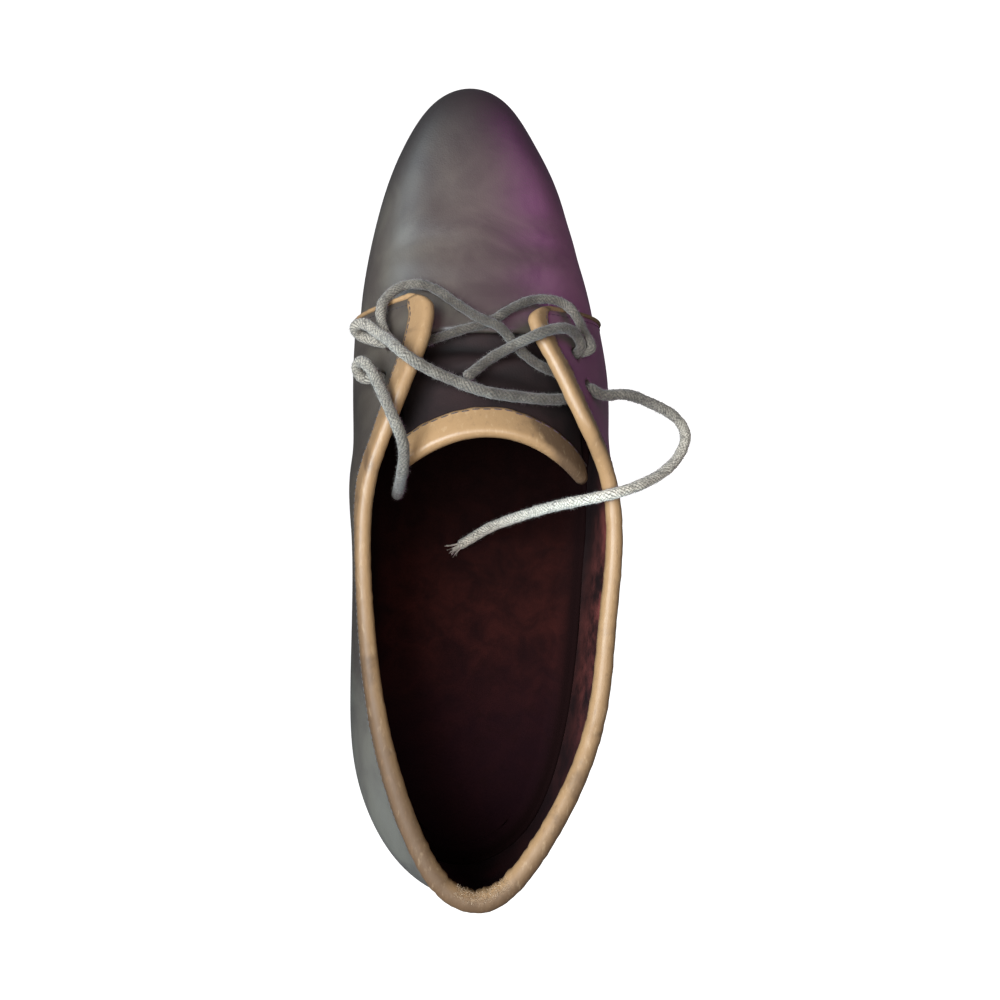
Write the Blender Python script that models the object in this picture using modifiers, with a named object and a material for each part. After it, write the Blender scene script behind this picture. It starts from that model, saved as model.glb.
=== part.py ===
"""A right derby shoe: plain toe, two pairs of eyelets, rolled tan edge, thin sole and low heel.

The toe points along +Y, the outer (lateral) side along +X, and the shoe stands on z = 0.
Sizes below are in millimetres; meshes are made in metres.
"""
import math

import bmesh
import bpy
import mathutils
import numpy as np

MM = 0.001

# Sizes of the whole shoe
TIP_Y = 147.8           # foremost point of the toe
THROAT_Y = 50.0         # rear edge of the vamp
FRONT_EDGE_Y = 58.3     # front edge of the quarters, sewn over the vamp
BREAST_Y = -62.0        # straight front face of the heel
WALL = 2.0              # leather and lining of the upper
GAP = 0.3               # clearance between pieces that touch
FOOT_GAP = 0.5          # clearance under the upper's lower edge, which follows the curved sole
OVERLAY = 1.6           # how far the quarters lie outside the vamp's surface
SOLE_THICK = 5.0
SOLE_MARGIN = 1.0       # the sole's edge stands this far outside the upper's lower edge
INSOLE_THICK = 2.5
INSOLE_INSET = 3.3      # the insole's edge lies this far inside the upper's lower edge
HEEL_TAPER = 2.5        # the heel narrows by this much down to the floor
TONGUE_WALL = 1.8
TONGUE_DROP = WALL + 0.4    # the tongue is sewn under the vamp
EDGE_LEATHER = 1.3      # thickness of the rolled edge's leather
TONGUE_FRONT_Y = 57.0   # tongue's front margin under the vamp
TONGUE_TOP_Y = 17.0     # middle of the tongue's top edge
TONGUE_INNER = (-26.0, 6.0)     # x, y of the top edge's inner end
TONGUE_OUTER = (40.0, 0.0)      # x, y of its outer end
TONGUE_EDGE_DEPTH = 8.5
COLLAR_EDGE_DEPTH = 7.0
EYELET_RADIUS = 2.4
FLAP_LEAST_Z = 45.0     # the lace holes lie above this height
PUNCH_LENGTH = 14.0
LACE_RADIUS = 2.1
TOE_FAN_Y = 95.0        # ribs in front of this fan round the toe
TOE_FAN = 0.0063        # how quickly they fan, per millimetre
FULLNESS = 0.57         # roundness of the ribs' shoulders
FOOT_FLARE = 0.45       # how flat a rib leaves its lower edge, as a share of the inset
FOOT_RISE = 0.25        # how far it has risen there, as a share of the flank's height
FLANK_HANDLE = 0.5      # roundness below the widest line
COLLAR_HANDLE = 0.4     # roundness below the collar
HEEL_HEART = (2.0, -95.0)   # plan point that the heel's ribs lean towards
TUCK = 0.4              # share of the overlay left at the quarters' lower edge
TUCK_RISE = 4.0         # how quickly the full overlay is reached above it
FEATHER = 0.4           # share of its thickness that the edge leather keeps at its margins
CROWN = ((0.8, 0.6), (0.0, 0.95), (-0.8, 0.6))   # rolled edge's top: shares outwards, upwards

# Fineness of the meshes
LOWER_POINTS = 12
UPPER_POINTS = 40
VAMP_RIBS = 20
VAMP_POINTS = 15
QUARTER_RIBS = 54
QUARTER_POINTS = 14
FRONT_ROWS = 3          # rows of the quarters that crowd at the flaps' corners
TOE_RIBS = 9
SIDE_SAMPLES = 400
SOLE_RUNGS = 44
HEEL_RUNGS = 22
INSOLE_RUNGS = 34
TONGUE_ROWS = 15
TONGUE_POINTS = 10
HOLE_SIDES = 10
BISECTIONS = 30
BAR_SPACING = 5.0
OUTER_END_SPACING = 6.0
INNER_END_SPACING = 5.0

# Middle of the shoe's box on the floor, taken as the origin
MIDDLE_X = 5.27
MIDDLE_Y = -0.70

# Height of the sole's upper face along the shoe: y, z
SOLE_PROFILE = (
    (-152, 27.2), (-105, 26.4), (-62, 25.0), (-28, 16.0), (8, 7.2), (34, 5.0),
    (76, 5.0), (108, 7.4), (132, 11.0), (152, 15.4))

# Plan outline of the vamp: y, inner side x, outer side x
VAMP_OUTLINE = (
    (0, -41.4, 50.0), (15, -41.5, 51.5), (30, -41.8, 52.5), (43, -41.7, 51.8), (54, -41.2, 50.2),
    (66, -40.4, 48.2), (79, -38.6, 45.0), (97, -34.7, 40.0), (114.5, -29.3, 33.7),
    (126.5, -23.9, 27.2), (136, -18.2, 21.2), (142, -12.9, 16.0), (TIP_Y, 1.7, 1.7))

# Crest of vamp and tongue: y, x, z
RIDGE = (
    (-5, 4.5, 97.0), (15, 4.0, 85.0), (30, 3.5, 76.0), (45, 3.0, 69.0), (60, 2.6, 62.5), (75, 2.3, 56.2),
    (90, 2.1, 50.8), (105, 1.9, 46.4), (120, 1.8, 42.8), (133, 1.7, 39.8))

# Height of the widest line over the sole, and inset of the lower edge: y, rise, inset
FLANK = (
    (0, 17.0, 6.5), (30, 16.0, 4.2), (60, 14.5, 3.2),
    (100, 12.5, 2.8), (130, 10.5, 2.6), (151, 8.0, 2.4))

# Free flaps of the quarters: y, x of the flap's edge, lift above the vamp, how far the edge leans forward
INNER_FLAP = (
    (58.3, -22.0, 3.5, 3.8), (57.7, -19.0, 5.0, 3.8), (56.2, -17.0, 6.2, 3.6), (52, -16.4, 7.0, 2.6),
    (44, -18.6, 7.8, 1.0), (36, -22.3, 8.0, 0.2), (27, -26.0, 7.6, 0.0), (17, -30.0, 6.6, 0.0))
OUTER_FLAP = (
    (58.3, 27.0, 3.5, 0.0), (57.7, 24.0, 5.0, 0.0), (56.2, 21.8, 6.0, 0.0), (52, 21.6, 6.6, 0.0),
    (47, 23.6, 6.8, 0.0), (38, 28.4, 6.8, 0.0), (28, 33.2, 6.2, 0.0), (18, 38.2, 5.6, 0.0))

# Lace holes in the flaps: plan x, y
EYELETS = ((-28.5, 46.0), (-31.0, 33.0), (36.0, 43.0), (40.0, 31.5))

# Routes of the lace's middle line: x, y, z of chosen points
LACE_BARS = {
    "inner eyelet round the flap to the outer side": (
        (-30.0, 49.0, 64.8), (-31.4, 53.4, 62.4), (-31.6, 58.4, 60.4), (-28.8, 63.4, 58.2),
        (-23.4, 66.8, 57.4), (-17.8, 67.0, 58.6), (-12.5, 64.8, 61.0), (-6.8, 60.4, 64.2), (-1.4, 56.2, 67.6),
        (3.4, 53.0, 70.8), (8.0, 50.8, 72.4), (12.2, 46.6, 71.8), (16.2, 42.6, 70.2), (21.2, 38.8, 69.4),
        (26.0, 36.8, 67.4)),
    "inner side to the outer eyelet round its flap": (
        (-11.6, 47.6, 67.4), (-7.2, 49.0, 68.4), (-1.8, 50.6, 69.2), (3.8, 52.2, 69.2), (8.4, 54.8, 67.6),
        (13.0, 58.0, 64.8), (18.4, 60.8, 62.4), (24.0, 62.2, 60.8), (29.6, 61.6, 61.0), (34.2, 58.6, 62.4),
        (37.4, 53.6, 63.0), (39.4, 49.0, 64.2), (41.0, 44.6, 64.6)),
    "crossing bar to the outer eyelet over its flap": (
        (-3.6, 32.8, 75.8), (0.4, 36.0, 74.6), (4.4, 39.2, 73.4), (8.6, 41.8, 73.0), (13.0, 44.2, 73.6),
        (17.4, 46.2, 75.6), (22.0, 48.0, 77.4), (26.4, 49.6, 76.0), (30.6, 50.4, 72.2), (34.2, 49.8, 68.4),
        (36.4, 47.8, 66.2), (37.4, 45.0, 65.4)),
    "loop at the inner eyelet across to the outer side": (
        (-39.6, 49.6, 60.6), (-40.4, 51.2, 62.4), (-38.0, 52.2, 64.8), (-33.8, 49.6, 68.6),
        (-28.8, 45.6, 74.2), (-24.0, 40.6, 81.0), (-15.8, 35.6, 79.2), (-6.4, 31.8, 76.8), (3.0, 28.4, 77.8),
        (14.0, 26.8, 77.4), (24.6, 26.2, 73.6), (28.4, 26.4, 71.6))}
OUTER_LACE_END = (
    (44.0, 28.8, 65.8), (51.0, 28.8, 65.2), (60.5, 27.2, 61.0), (69.0, 24.2, 56.4), (75.4, 20.2, 53.4),
    (78.0, 15.4, 52.6), (76.0, 9.2, 54.4), (70.4, 3.4, 58.8), (62.0, -1.0, 65.8), (54.0, -3.8, 71.4),
    (47.6, -5.6, 73.0), (40.2, -7.4, 69.6), (31.2, -9.8, 60.0), (22.4, -13.0, 47.6), (13.8, -16.8, 35.4),
    (6.4, -20.8, 26.0), (0.8, -24.6, 21.8), (-3.2, -27.0, 21.2))
INNER_LACE_END = (
    (-34.0, 34.4, 65.4), (-36.4, 35.8, 64.6), (-39.0, 37.8, 63.8), (-40.8, 39.0, 65.6), (-38.6, 37.2, 69.6),
    (-34.0, 32.4, 74.8), (-30.2, 26.4, 80.6), (-27.6, 20.6, 84.2), (-25.4, 15.6, 84.8), (-23.8, 10.2, 83.2),
    (-23.8, 4.4, 80.2), (-24.8, -1.2, 73.0), (-25.8, -4.6, 63.0), (-26.4, -6.4, 55.0))

# Ribs of the quarters behind the flaps:
# widest x, y, rise over the sole, inset below, top x, y, z, inward lean of the top in degrees
INNER_RIBS = (
    (-43.0, 4, 17.0, 6.5, -34.8, 4, 75.2, 28),
    (-43.0, -22, 17.5, 8.5, -38.3, -20, 72.6, 15),
    (-43.0, -50, 18.0, 8.5, -37.4, -48, 72.2, 12),
    (-43.6, -78, 18.5, 7.0, -34.0, -77, 74.5, 12),
    (-42.4, -102, 19.0, 5.5, -27.8, -102, 79.3, 14),
    (-36.6, -122, 19.0, 4.5, -20.0, -122, 83.3, 14),
    (-24.0, -140, 19.0, 4.0, -11.0, -135.3, 85.4, 12))
HEEL_RIB = (-2.0, -149.5, 19.0, 4.0, 0.0, -140.0, 86.0, 8)
OUTER_RIBS = (
    (51.6, 4, 17.0, 5.5, 45.6, 4, 70.6, 20),
    (49.8, -22, 17.5, 7.0, 50.0, -22, 67.4, 5),
    (46.5, -50, 18.0, 7.0, 47.6, -51, 67.8, 4),
    (43.0, -78, 18.5, 5.5, 43.6, -80, 71.5, 6),
    (38.5, -102, 19.0, 4.5, 34.6, -103, 78.0, 12),
    (32.0, -122, 19.0, 4.0, 22.6, -122, 83.0, 14),
    (20.0, -140, 19.0, 4.0, 10.8, -135.6, 85.4, 12))


def cubic(xs, ys, x):
    """Natural cubic spline through the rows of ys at xs, read at x."""
    xs, ys = np.asarray(xs, float), np.asarray(ys, float)
    n, h = len(xs), np.diff(xs)
    system, right = np.eye(n), np.zeros((n,) + ys.shape[1:])
    for i in range(1, n - 1):
        system[i, i - 1:i + 2] = h[i - 1], 2 * (h[i - 1] + h[i]), h[i]
        right[i] = 6 * ((ys[i + 1] - ys[i]) / h[i] - (ys[i] - ys[i - 1]) / h[i - 1])
    bend = np.linalg.solve(system, right.reshape(n, -1)).reshape(right.shape)
    x = np.asarray(x, float)
    k = np.clip(np.searchsorted(xs, x) - 1, 0, n - 2)
    shape = x.shape + (1,) * (ys.ndim - 1)
    step = h[k].reshape(shape)
    b = ((x - xs[k]).reshape(shape)) / step
    a = 1 - b
    return a * ys[k] + b * ys[k + 1] + ((a ** 3 - a) * bend[k] + (b ** 3 - b) * bend[k + 1]) * step ** 2 / 6


def column_curve(table, column, x):
    """Smooth curve through one column of a table whose first column rises."""
    rows = np.array(table, float)
    return cubic(rows[:, 0], rows[:, column], x)


def level_curve(table, x):
    """Curve through (x, z) rows that never overshoots, so level stretches stay level."""
    rows = np.array(table, float)
    xs, zs = rows[:, 0], rows[:, 1]
    h = np.diff(xs)
    grade = np.diff(zs) / h
    slope = np.zeros(len(xs))
    for i in range(1, len(xs) - 1):
        if grade[i - 1] * grade[i] > 0:
            before, after = 2 * h[i] + h[i - 1], h[i] + 2 * h[i - 1]
            slope[i] = (before + after) / (before / grade[i - 1] + after / grade[i])
    slope[0], slope[-1] = grade[0], grade[-1]
    x = np.clip(np.asarray(x, float), xs[0], xs[-1])
    k = np.clip(np.searchsorted(xs, x) - 1, 0, len(xs) - 2)
    t = (x - xs[k]) / h[k]
    return ((1 + 2 * t) * (1 - t) ** 2 * zs[k] + t * (1 - t) ** 2 * h[k] * slope[k]
            + t * t * (3 - 2 * t) * zs[k + 1] + t * t * (t - 1) * h[k] * slope[k + 1])


def sole_top(y):
    return level_curve(SOLE_PROFILE, y)


def bezier(a, b, c, d, count):
    t = np.linspace(0, 1, count)[:, None]
    return (1 - t) ** 3 * a + 3 * t * (1 - t) ** 2 * b + 3 * t * t * (1 - t) * c + t ** 3 * d


def resample(line, count):
    """The same line with evenly spaced points."""
    along = np.concatenate([[0], np.cumsum(np.linalg.norm(np.diff(line, axis=0), axis=1))])
    at = np.linspace(0, along[-1], count)
    return np.stack([np.interp(at, along, line[:, k]) for k in range(3)], axis=1)


def unit(v):
    return v / np.maximum(np.linalg.norm(v, axis=-1, keepdims=True), 1e-9)


def rib(foot, wide, top, top_direction, reach):
    """One rib: from the lower edge out to the widest line, then up to the top."""
    lift = np.array([0.0, 0.0, wide[2] - foot[2]])
    out = np.array([wide[0] - foot[0], wide[1] - foot[1], 0.0])
    leaving = foot + FOOT_FLARE * out + FOOT_RISE * lift
    lower = bezier(foot, leaving, wide - FLANK_HANDLE * lift, wide, LOWER_POINTS)
    up = np.array([0.0, 0.0, FULLNESS * (top[2] - wide[2])])
    upper = bezier(wide, wide + up, top - reach * top_direction, top, UPPER_POINTS)
    return np.concatenate([lower, upper[1:]])


def outline_at(y, side):
    """Plan point of the vamp's widest line and its outward direction; side is -1 inner, 1 outer."""
    rows = np.array(VAMP_OUTLINE[::-1], float)
    along = np.sqrt((TIP_Y - rows[:, 0]) / TIP_Y)
    column = rows[:, 1 if side < 0 else 2]
    here = math.sqrt(max(TIP_Y - y, 0.0) / TIP_Y)
    step = 0.004
    x, ahead = cubic(along, column, np.array([here, here + step]))
    back = TIP_Y * ((here + step) ** 2 - here ** 2)
    run = unit(np.array([ahead - x, -back]))
    normal = np.array([run[1], -run[0]]) if side > 0 else np.array([-run[1], run[0]])
    return np.array([x, y]), -normal


def vamp_rib(y, side):
    """Rib of the vamp, or of the tongue behind it, that starts at y on one side."""
    plan, normal = outline_at(y, side)
    rise, inset = column_curve(FLANK, 1, y), column_curve(FLANK, 2, y)
    inner = plan - inset * normal
    foot = np.array([*inner, sole_top(inner[1]) + FOOT_GAP])
    wide = np.array([*plan, sole_top(y) + rise])
    crest_y = y - TOE_FAN * max(y - TOE_FAN_Y, 0.0) ** 2
    crest_x, crest_z = column_curve(RIDGE, 1, crest_y), column_curve(RIDGE, 2, crest_y)
    slope = column_curve(RIDGE, 2, crest_y + 0.5) - column_curve(RIDGE, 2, crest_y - 0.5)
    crest = np.array([crest_x, crest_y, crest_z])
    across = np.array([crest_x - plan[0], crest_y - plan[1], (crest_y - plan[1]) * slope])
    return rib(foot, wide, crest, across, FULLNESS)


def outward_in_section(line, side):
    """Outward directions of a line that lies in a plane across the shoe."""
    run = np.gradient(line, axis=0)
    across = np.stack([run[:, 2], np.zeros(len(line)), -run[:, 0]], axis=1)
    return unit(across) * side


def flap_row(y, edge_x, lift, lean, side, count):
    """Row of the quarter over the vamp: it lies on the vamp below and stands free at its edge_x."""
    whole = vamp_rib(y, side)
    share = np.linspace(0, 1, count)
    ease = share ** 3
    tuck = np.minimum(TUCK + TUCK_RISE * share, 1.0)

    def raised(cut):
        last = int(cut)
        end = whole[last] + (whole[last + 1] - whole[last]) * (cut - last)
        line = resample(np.concatenate([whole[:last], [end]]), count)
        row = line + outward_in_section(line, side) * (tuck * OVERLAY + lift * ease)[:, None]
        row[0, 2] = line[0, 2]
        row[:, 1] += lean * ease
        return row

    low, high = LOWER_POINTS + 2.0, len(whole) - 1.01
    for _ in range(BISECTIONS):
        middle = (low + high) / 2
        if raised(middle)[-1, 0] * side > edge_x * side:
            low = middle
        else:
            high = middle
    return raised(low)


def rear_row(values, count):
    """Row of the quarters behind the flaps, from one row of the rib tables."""
    wide_x, wide_y, rise, inset, top_x, top_y, top_z, lean = values
    plan = np.array([wide_x, wide_y], float)
    heart_x, heart_y = HEEL_HEART
    towards = unit(np.array([heart_x - wide_x, max(heart_y - wide_y, 0.0)]))
    inner = plan + inset * towards
    foot = np.array([*inner, sole_top(inner[1]) + FOOT_GAP])
    wide = np.array([*plan, sole_top(wide_y) + rise])
    top = np.array([top_x, top_y, top_z], float)
    tilt = math.radians(lean)
    direction = np.array([*(towards * math.sin(tilt)), math.cos(tilt)])
    return resample(rib(foot, wide, top, direction, COLLAR_HANDLE * (top_z - wide[2])), count)


def quarter_rows(count):
    rows = [flap_row(*values, -1, count) for values in INNER_FLAP]
    rows += [rear_row(values, count) for values in INNER_RIBS + (HEEL_RIB,) + OUTER_RIBS[::-1]]
    rows += [flap_row(*values, 1, count) for values in OUTER_FLAP[::-1]]
    return np.array(rows)


def quarter_grid(stations, count):
    """Outer surface of the quarters, from the inner front edge round the heel to the outer one."""
    rows = quarter_rows(count)
    steps = np.linalg.norm(np.diff(rows, axis=0), axis=2).mean(axis=1)
    along = np.concatenate([[0], np.cumsum(steps)])
    even = np.linspace(along[FRONT_ROWS], along[-FRONT_ROWS - 1], stations - 2 * FRONT_ROWS)
    at = np.concatenate([along[:FRONT_ROWS], even, along[-FRONT_ROWS:]])
    return cubic(along, rows, at)


def vamp_grid(stations, count):
    """Outer surface of the vamp: ribs from the inner throat round the toe to the outer throat."""
    spread = np.linspace(1, 0, stations)
    ys = TIP_Y - (TIP_Y - THROAT_Y) * spread ** 2
    ribs = [resample(vamp_rib(y, -1), count) for y in ys]
    ribs += [resample(vamp_rib(y, 1), count) for y in ys[-2::-1]]
    return np.array(ribs)


def grid_normals(grid):
    """Outward directions of a grid whose rows run round the shoe and whose columns rise."""
    around, upward = np.gradient(grid, axis=0), np.gradient(grid, axis=1)
    return unit(np.cross(around, upward))


def collection_named(name):
    found = bpy.data.collections.new(name)
    bpy.context.scene.collection.children.link(found)
    return found


def material_named(name, colour, roughness, metallic=0.0):
    made = bpy.data.materials.new(name)
    made.use_nodes = True
    shader = made.node_tree.nodes["Principled BSDF"]
    shader.inputs["Base Color"].default_value = (*colour, 1.0)
    shader.inputs["Roughness"].default_value = roughness
    shader.inputs["Metallic"].default_value = metallic
    return made


def mesh_object(name, points, faces, material, collection, merge=0.0):
    """An object from points in millimetres, shaded smooth."""
    shift = np.array([MIDDLE_X, MIDDLE_Y, 0.0])
    mesh = bpy.data.meshes.new(name)
    mesh.from_pydata([tuple(p) for p in (np.asarray(points) - shift) * MM], [], faces)
    if merge:
        shape = bmesh.new()
        shape.from_mesh(mesh)
        bmesh.ops.remove_doubles(shape, verts=shape.verts, dist=merge * MM)
        shape.to_mesh(mesh)
        shape.free()
    mesh.materials.append(material)
    mesh.shade_smooth()
    mesh.set_sharp_from_angle(angle=math.radians(40))
    made = bpy.data.objects.new(name, mesh)
    collection.objects.link(made)
    return made


def grid_faces(rows, columns, flip=False):
    faces = []
    for i in range(rows - 1):
        for j in range(columns - 1):
            face = (i * columns + j, (i + 1) * columns + j, (i + 1) * columns + j + 1, i * columns + j + 1)
            faces.append(face[::-1] if flip else face)
    return faces


def shell(name, grid, thickness, material, collection, flip=False, merge=0.0):
    """A wall with its outer face on the grid."""
    rows, columns = grid.shape[:2]
    faces = grid_faces(rows, columns, flip)
    made = mesh_object(name, grid.reshape(-1, 3), faces, material, collection, merge)
    wall = made.modifiers.new("Wall", "SOLIDIFY")
    wall.thickness = thickness * MM
    wall.offset = -1.0
    wall.use_even_offset = True
    return made


def swept(name, sections, material, collection):
    """A closed bar through closed sections of equal point count, capped at both ends."""
    count, points = sections.shape[:2]
    faces = []
    for i in range(count - 1):
        for j in range(points):
            k = (j + 1) % points
            faces.append((i * points + j, i * points + k, (i + 1) * points + k, (i + 1) * points + j))
    faces.append(tuple(range(points))[::-1])
    faces.append(tuple(range((count - 1) * points, count * points)))
    made = mesh_object(name, sections.reshape(-1, 3), faces, material, collection)
    return outward(made)


def outward(made):
    """Turns a closed mesh's faces outwards."""
    shape = bmesh.new()
    shape.from_mesh(made.data)
    bmesh.ops.recalc_face_normals(shape, faces=shape.faces)
    shape.to_mesh(made.data)
    shape.free()
    return made


def applied(made):
    """Replaces an object's mesh by its evaluated mesh."""
    graph = bpy.context.evaluated_depsgraph_get()
    mesh = bpy.data.meshes.new_from_object(made.evaluated_get(graph))
    made.modifiers.clear()
    made.data = mesh
    return made


def joined(target, others):
    """Union of one object with others, which are removed afterwards."""
    for other in others:
        step = target.modifiers.new("Join", "BOOLEAN")
        step.operation = "UNION"
        step.solver = "EXACT"
        step.object = other
        applied(target)
        bpy.data.objects.remove(other)
    return target


def below_edge(column, depth):
    """Point of a rising column that lies a given length below its top."""
    line = column[::-1]
    along = np.concatenate([[0], np.cumsum(np.linalg.norm(np.diff(line, axis=0), axis=1))])
    return np.array([np.interp(depth, along, line[:, k]) for k in range(line.shape[1])])


def rolled_edge(grid, covered, depth):
    """Sections of a leather strip folded over the top edge of a wall whose outer face is the grid."""
    both = np.concatenate([grid, grid_normals(grid)], axis=2)
    near, far = GAP, GAP + EDGE_LEATHER
    half = covered / 2 + far
    sections = []
    for column in both:
        levels = [below_edge(column, d) for d in (0.0, depth / 2, depth)]
        (top, mid, low), (n_top, n_mid, n_low) = [[v[k:k + 3] for v in levels] for k in (0, 3)]
        n_top, n_mid, n_low = unit(n_top), unit(n_mid), unit(n_low)
        up = unit(top - mid)
        heart = top - n_top * covered / 2
        outer = [low + n_low * (near + FEATHER * EDGE_LEATHER), mid + n_mid * far, top + n_top * far]
        crown = [heart + half * (out * n_top + rise * up) for out, rise in CROWN]
        inner = [top - n_top * (covered + far), mid - n_mid * (covered + far),
                 low - n_low * (covered + near + FEATHER * EDGE_LEATHER)]
        slot = [low - n_low * (covered + near), mid - n_mid * (covered + near),
                top - n_top * (covered + near) + up * near, top + n_top * near + up * near,
                mid + n_mid * near, low + n_low * near]
        sections.append(outer + crown + inner + slot)
    return np.array(sections)


def lower_edge(side):
    """Plan points where the upper meets the sole on one side, from the toe back towards the heel."""
    flap, ribs = (INNER_FLAP, INNER_RIBS) if side < 0 else (OUTER_FLAP, OUTER_RIBS)
    vamp_back = FRONT_EDGE_Y + 2 * SOLE_MARGIN
    ys = TIP_Y - (TIP_Y - vamp_back) * np.linspace(0, 1, TOE_RIBS) ** 2
    feet = [vamp_rib(y, side)[0, :2] for y in ys]
    feet += [flap_row(*values, side, LOWER_POINTS)[0, :2] for values in flap[FRONT_ROWS + 1::2]]
    feet += [rear_row(values, LOWER_POINTS)[0, :2] for values in ribs]
    return feet


def sole_side(side, margin, count, start_y=TIP_Y):
    """Plan points of one side of the sole, from the toe, or from start_y, back to the middle of the heel."""
    near, far = lower_edge(side), lower_edge(-side)
    feet = np.array(near + [rear_row(HEEL_RIB, LOWER_POINTS)[0, :2]] + far[::-1])
    along = np.concatenate([[0], np.cumsum(np.linalg.norm(np.diff(feet, axis=0), axis=1))])
    turn = along[len(near)]
    at = np.concatenate([np.linspace(0, turn, SIDE_SAMPLES), np.linspace(turn, along[-1], SIDE_SAMPLES)[1:]])
    loop = cubic(along, feet, at)
    run = unit(np.gradient(loop, axis=0))
    run[0] = (side, 0)
    line = (loop + margin * np.stack([-run[:, 1], run[:, 0]], axis=1) * side)[:SIDE_SAMPLES]
    if start_y < TIP_Y:
        rear = line[SIDE_SAMPLES // 2:]
        cut_x = np.interp(-start_y, -rear[:, 1], rear[:, 0])
        line = np.concatenate([[[cut_x, start_y]], rear[rear[:, 1] < start_y]])
    line = np.concatenate([line, np.zeros((len(line), 1))], axis=1)
    return resample(line, count)[:, :2]


def plate(name, top_sides, bottom_sides, top, bottom, material, collection, across=4):
    """A closed plate between two pairs of side lines, with heights from functions of y."""
    layers = []
    for (inner, outer), height in ((top_sides, top), (bottom_sides, bottom)):
        weights = np.linspace(0, 1, across + 1)[None, :, None]
        plan = inner[:, None] * (1 - weights) + outer[:, None] * weights
        layers.append(np.concatenate([plan, height(plan[..., 1])[..., None]], axis=2))
    rows, columns = layers[0].shape[:2]
    below = rows * columns
    faces = grid_faces(rows, columns)
    faces += [tuple(k + below for k in face[::-1]) for face in faces]
    rim = [(i, j) for j in (0, columns - 1) for i in range(rows - 1)]
    for i, j in rim:
        a, b = i * columns + j, (i + 1) * columns + j
        faces.append((a, b, b + below, a + below))
    for i in (0, rows - 1):
        if np.linalg.norm(layers[0][i, 0] - layers[0][i, -1]) > 1.0:
            starts = range(i * columns, (i + 1) * columns - 1)
            faces += [(k, k + 1, k + 1 + below, k + below) for k in starts]
    points = np.concatenate([layer.reshape(-1, 3) for layer in layers])
    return outward(mesh_object(name, points, faces, material, collection, merge=0.05))


def vamp_height(x, y):
    """Height of the vamp's surface, continued backwards as the tongue's."""
    line = vamp_rib(y, -1 if x < column_curve(RIDGE, 1, y) else 1)[LOWER_POINTS + 2:]
    order = np.argsort(line[:, 0])
    return np.interp(x, line[order, 0], line[order, 2])


def tongue_grid(rows, columns):
    """Outer surface of the tongue: rows run across from the outer side, columns rise to its top."""
    grid = np.zeros((rows, columns, 3))
    for i, q in enumerate(np.linspace(1, -1, rows)):
        side_x, side_y = TONGUE_OUTER if q > 0 else TONGUE_INNER
        top_y = TONGUE_TOP_Y + (side_y - TONGUE_TOP_Y) * q * q
        for j, v in enumerate(np.linspace(0, 1, columns)):
            y = TONGUE_FRONT_Y + v * (top_y - TONGUE_FRONT_Y)
            crest = column_curve(RIDGE, 1, y)
            x = crest + abs(q) * (side_x - crest)
            grid[i, j] = x, y, vamp_height(x, y)
    return grid - grid_normals(grid) * TONGUE_DROP


def cut_eyelets(upper, grid, cutters):
    """Punches the lace holes square through the flaps."""
    normals = grid_normals(grid)
    shift = np.array([MIDDLE_X, MIDDLE_Y, 0.0])
    for x, y in EYELETS:
        away = np.hypot(grid[..., 0] - x, grid[..., 1] - y)
        away[grid[..., 2] < FLAP_LEAST_Z] = np.inf
        spot = np.unravel_index(np.argmin(away), away.shape)
        bpy.ops.mesh.primitive_cylinder_add(
            vertices=HOLE_SIDES, radius=EYELET_RADIUS * MM, depth=PUNCH_LENGTH * MM)
        punch = bpy.context.object
        punch.name = "eyelet_punch"
        punch.location = (grid[spot] - shift) * MM
        punch.rotation_mode = "QUATERNION"
        punch.rotation_quaternion = mathutils.Vector(normals[spot]).to_track_quat("Z", "Y")
        punch.hide_render = True
        punch.display_type = "WIRE"
        for holder in list(punch.users_collection):
            holder.objects.unlink(punch)
        cutters.objects.link(punch)
        cut = upper.modifiers.new("Lace hole", "BOOLEAN")
        cut.operation = "DIFFERENCE"
        cut.solver = "EXACT"
        cut.object = punch


def lace(name, route, spacing, material, collection):
    """A round cord along a smooth curve through the route's points."""
    route = np.array(route, float)
    along = np.concatenate([[0], np.cumsum(np.linalg.norm(np.diff(route, axis=0), axis=1))])
    count = int(round(along[-1] / spacing)) + 1
    points = cubic(along, route, np.linspace(0, along[-1], count))
    points = (points - np.array([MIDDLE_X, MIDDLE_Y, 0.0])) * MM
    curve = bpy.data.curves.new(name, "CURVE")
    curve.dimensions = "3D"
    curve.bevel_depth = LACE_RADIUS * MM
    curve.bevel_resolution = 2
    curve.use_fill_caps = True
    line = curve.splines.new("POLY")
    line.points.add(count - 1)
    for spot, p in zip(line.points, points):
        spot.co = (*p, 1.0)
    curve.materials.append(material)
    made = bpy.data.objects.new(name, curve)
    collection.objects.link(made)
    return made


def as_mesh(curve_object, collection):
    """Turns a cord into a closed mesh object and removes the curve."""
    bpy.context.view_layer.update()
    graph = bpy.context.evaluated_depsgraph_get()
    mesh = bpy.data.meshes.new_from_object(curve_object.evaluated_get(graph))
    shape = bmesh.new()
    shape.from_mesh(mesh)
    bmesh.ops.remove_doubles(shape, verts=shape.verts, dist=1e-6)
    bmesh.ops.recalc_face_normals(shape, faces=shape.faces)
    shape.to_mesh(mesh)
    shape.free()
    name = curve_object.name
    bpy.data.objects.remove(curve_object)
    made = bpy.data.objects.new(name, mesh)
    collection.objects.link(made)
    return made


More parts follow.
